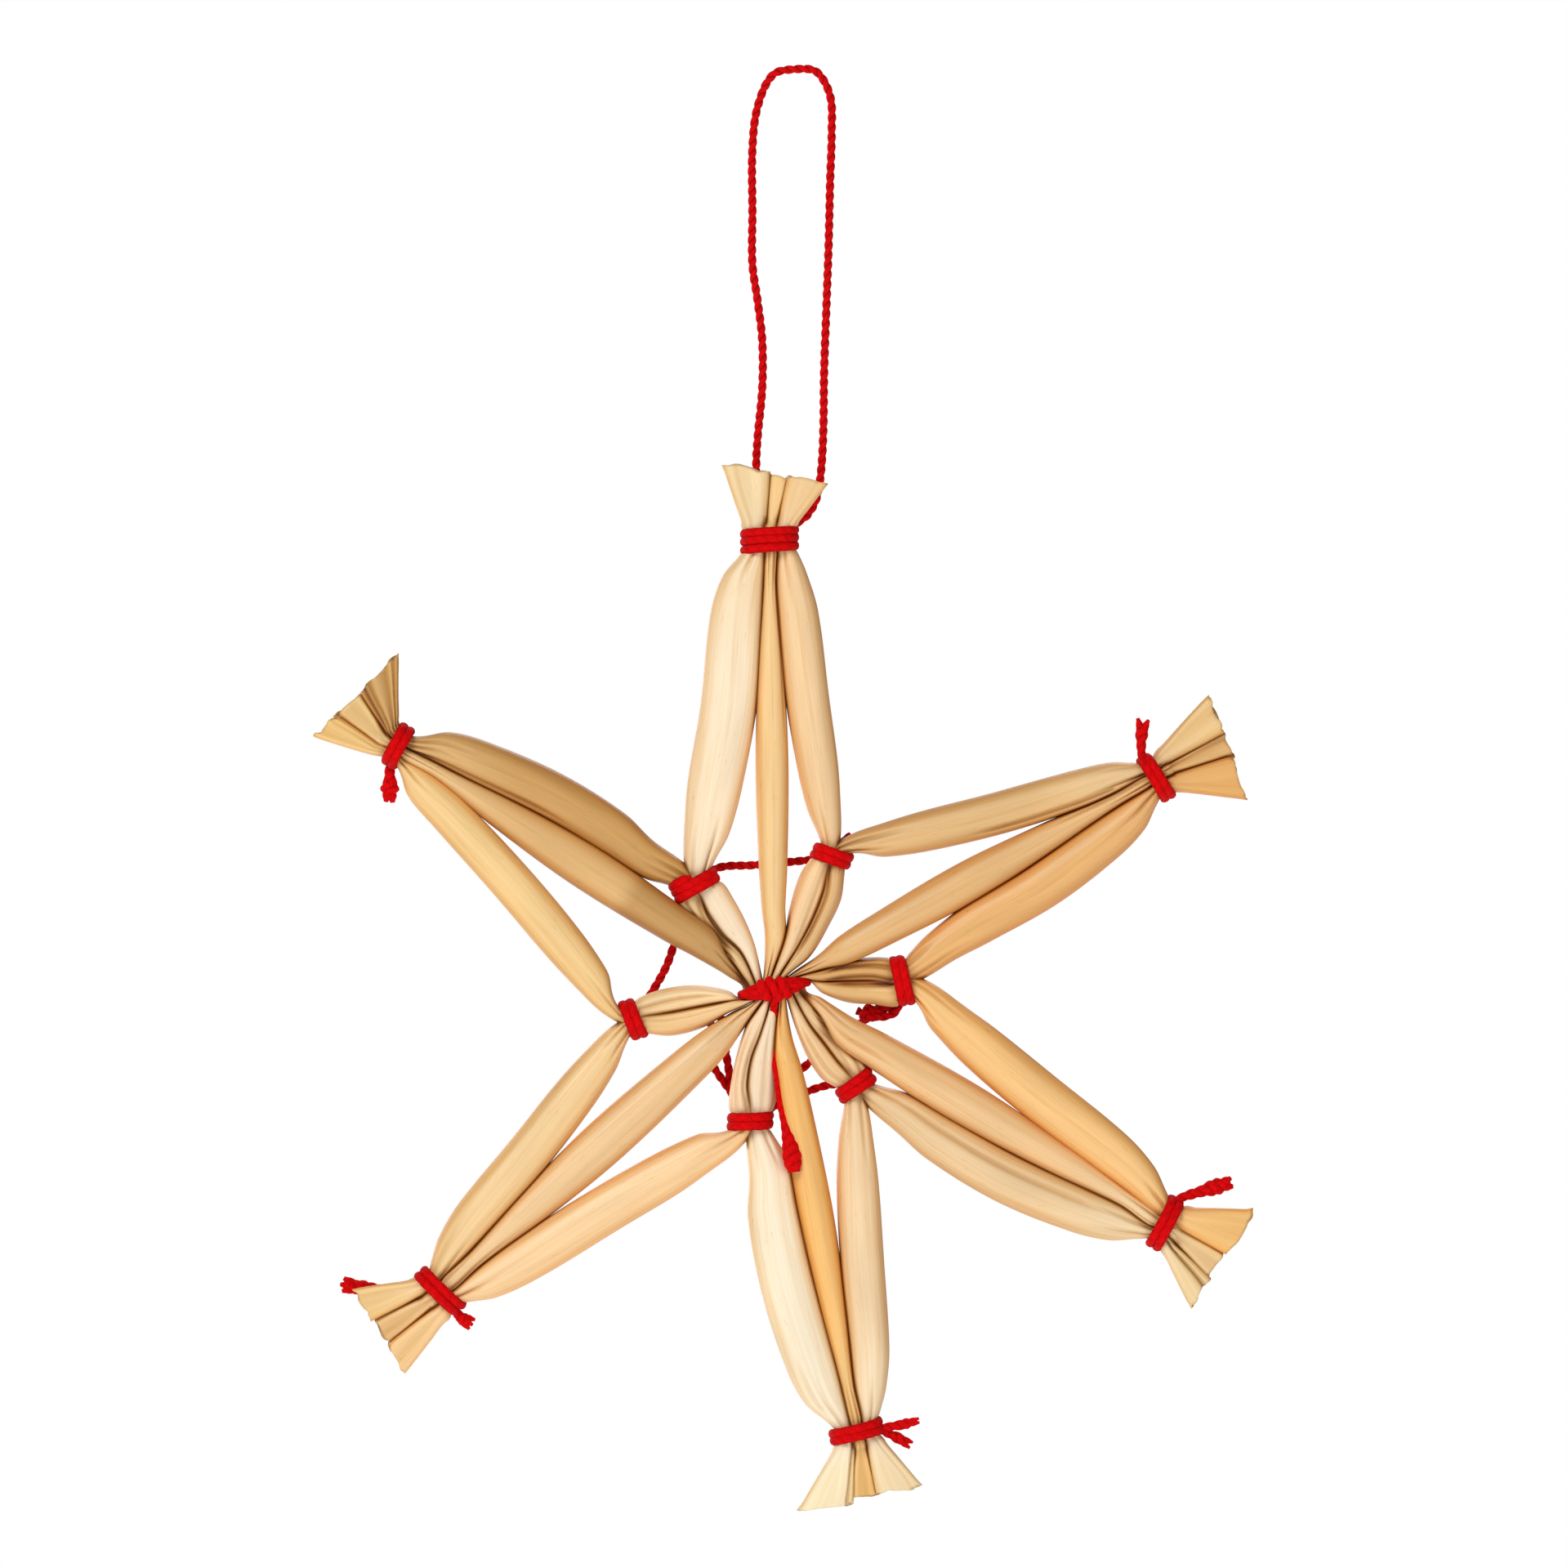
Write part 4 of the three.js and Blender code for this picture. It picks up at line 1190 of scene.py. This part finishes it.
def make_centre_tie(material):
    """The tie across the middle, knotted in front, with its loose end hanging down."""
    bm = marked_bmesh()
    half_length, half_depth = CENTRE_TIE["half_length"] - THREAD, CENTRE_TIE["half_depth"] - THREAD
    tilt = -CENTRE_TIE["tilt"]
    for height, out, reach in CENTRE_TURNS:
        points = []
        for i in range(29):
            turn = 2 * math.pi * i / 28 + math.pi / 2
            up = height * abs(math.sin(turn)) ** 1.5 + 0.12 * math.cos(turn)
            aside = math.cos(turn) * (half_length + reach)
            points.append(at(tilt, up, aside, math.sin(turn) * (half_depth + out)))
        lay_thread(bm, points, core=(Vector(), heading(tilt)), flat=1.05, ply=WOUND_PLY)
    front = half_depth + 0.2
    for aside, lean, rise in CENTRE_WRAPS:
        points = []
        for i in range(17):
            turn = 2 * math.pi * i / 16 + math.pi / 2
            wrap = at(lean, math.cos(turn) * rise, 0, math.sin(turn) * 0.42 - front)
            points.append(wrap + heading(90 + tilt) * aside)
        lay_thread(bm, points, thickness=THREAD * 1.1, ply=WOUND_PLY)
    drop = unfolded([(0.1, -0.3, -front - 0.1), *DROP])
    girths = ((0, 1), (0.7, 0.95), (0.93, 2.5), (1, 1.7))
    lay_thread(bm, drop, thickness=THREAD * 0.92, girths=girths, ply=0.16)
    piece_from(bm, "centre_tie_thread", material, "centre_tie")


# The route of the loop, from behind the fringe of the upper point and back.
LOOP_ROUTE = [
    (-2.4, 1.5, -29.5),
    (-2.6, 1.4, -26.0),
    (-2.5, 0.8, -24.0),
    (-2.2, 0.2, -20.8),
    (-2.2, 0, -17.7),
    (-2.5, 0, -15.1),
    (-2.85, 0, -12.6),
    (-2.85, 0, -9.2),
    (-2.85, 0, -5.0),
    (-2.5, 0, -2.2),
    (-1.5, 0, -0.1),
    (0, 0, 0.28),
    (1.4, 0, 0.1),
    (2.3, 0, -1.5),
    (2.4, 0, -3.9),
    (2.3, 0, -7.1),
    (2.2, 0, -11.3),
    (2.05, 0, -15.5),
    (1.9, 0.2, -19.8),
    (1.85, 0.8, -23.6),
    (1.7, 1.35, -26.3),
    (1.4, 1.5, -28.1),
    (0.8, 1.5, -29.2),
    (0.15, 1.5, -29.7),
]


def make_loop(material):
    """The loop of thread that the star hangs by."""
    points = [Vector(stop) - STAR_CENTRE for stop in LOOP_ROUTE]
    bm = marked_bmesh()
    lay_thread(bm, points, ply=LOOP_PLY)
    loop = piece_from(bm, "hanging_loop_thread", material, "hanging_loop")


# ---------------------------------------------------------------- build the star

straw_material = straw_finish()
thread_material = thread_finish()

for index, (half, stations) in enumerate(zip(HALVES, half_stations())):
    half["rows"], half["ties"] = rows_along(stations)
    half["creases"] = half_creases(random.Random(100 + index), half)
    usual = half["tone"]
    for part in ("tone", "inner", "tip"):
        half[part] = [linear(channel) for channel in half.get(part, usual)]

tree, marks = axis_marks()
for straw in range(STRAWS):
    make_straw(straw, tree, marks, straw_material)
for index in range(len(SECTORS)):
    make_tip_tie(index, thread_material)
make_binding_thread(thread_material)
make_centre_tie(thread_material)
make_loop(thread_material)

# ---------------------------------------------------------------- room, light and camera

FLOOR_RADIUS = 1.4
HANGING_HEIGHT = 0.16  # of the star above the floor

scene = bpy.context.scene
scene.view_settings.view_transform = "Standard"

low, high = (Vector(corner) for corner in cad_box)
middle = (low + high) / 2

floor_bm = bmesh.new()
bmesh.ops.create_circle(floor_bm, cap_ends=True, segments=96, radius=FLOOR_RADIUS)
bmesh.ops.translate(floor_bm, verts=floor_bm.verts, vec=(middle.x, 0, low.z - HANGING_HEIGHT))
floor_mesh = bpy.data.meshes.new("floor")
floor_bm.to_mesh(floor_mesh)
floor_bm.free()
floor = bpy.data.objects.new("floor", floor_mesh)
scene.collection.objects.link(floor)
floor_material = bpy.data.materials.new("pale_floor")
floor_material.use_nodes = True
floor_finish = floor_material.node_tree.nodes["Principled BSDF"].inputs
floor_finish["Base Color"].default_value = (0.9, 0.9, 0.89, 1)
floor_finish["Roughness"].default_value = 0.9
floor_finish["Emission Color"].default_value = (1, 1, 0.99, 1)
floor_finish["Emission Strength"].default_value = 0.42
floor_mesh.materials.append(floor_material)

# The studio is white to look at, and fills the shadows only a little.
world = bpy.data.worlds.new("studio")
world.use_nodes = True
scene.world = world
nodes, link = world.node_tree.nodes, world.node_tree.links.new
nodes.clear()
rays = nodes.new("ShaderNodeLightPath")
either = nodes.new("ShaderNodeMixShader")
output = nodes.new("ShaderNodeOutputWorld")
link(rays.outputs["Is Camera Ray"], either.inputs["Fac"])
for socket, strength in ((1, 0.18), (2, 1.0)):
    glow = nodes.new("ShaderNodeBackground")
    glow.inputs["Color"].default_value = (1, 1, 1, 1)
    glow.inputs["Strength"].default_value = strength
    link(glow.outputs["Background"], either.inputs[socket])
link(either.outputs["Shader"], output.inputs["Surface"])


def soft_box(name, place, size, watts):
    """A round lamp at a place from the middle of the star, turned to face it."""
    light = bpy.data.lights.new(name, "AREA")
    light.shape = "DISK"
    light.size = size
    light.energy = watts
    lamp = bpy.data.objects.new(name, light)
    lamp.location = middle + Vector(place)
    lamp.rotation_euler = (middle - lamp.location).to_track_quat("-Z", "Y").to_euler()
    scene.collection.objects.link(lamp)


soft_box("key_light", (-0.3, -0.5, 0.38), 0.34, 2.75)
soft_box("fill_light", (0.45, -0.55, 0.05), 0.5, 0.9)
soft_box("rim_light", (0.1, 0.5, 0.4), 0.4, 1.2)
soft_box("back_light", (-0.4, 0.6, 0.1), 0.7, 2.3)

VIEW_MARGIN = 1.09
LENS = 200.0
camera_data = bpy.data.cameras.new("camera")
camera_data.lens = LENS
camera_data.sensor_width = 36.0
camera_data.clip_end = 20
camera = bpy.data.objects.new("camera", camera_data)
view_size = max(high.z - low.z, high.x - low.x) * VIEW_MARGIN
distance = view_size * LENS / camera_data.sensor_width
camera.location = (middle.x, -distance, middle.z)
camera.rotation_euler = (math.radians(90), 0, 0)
scene.collection.objects.link(camera)
scene.camera = camera
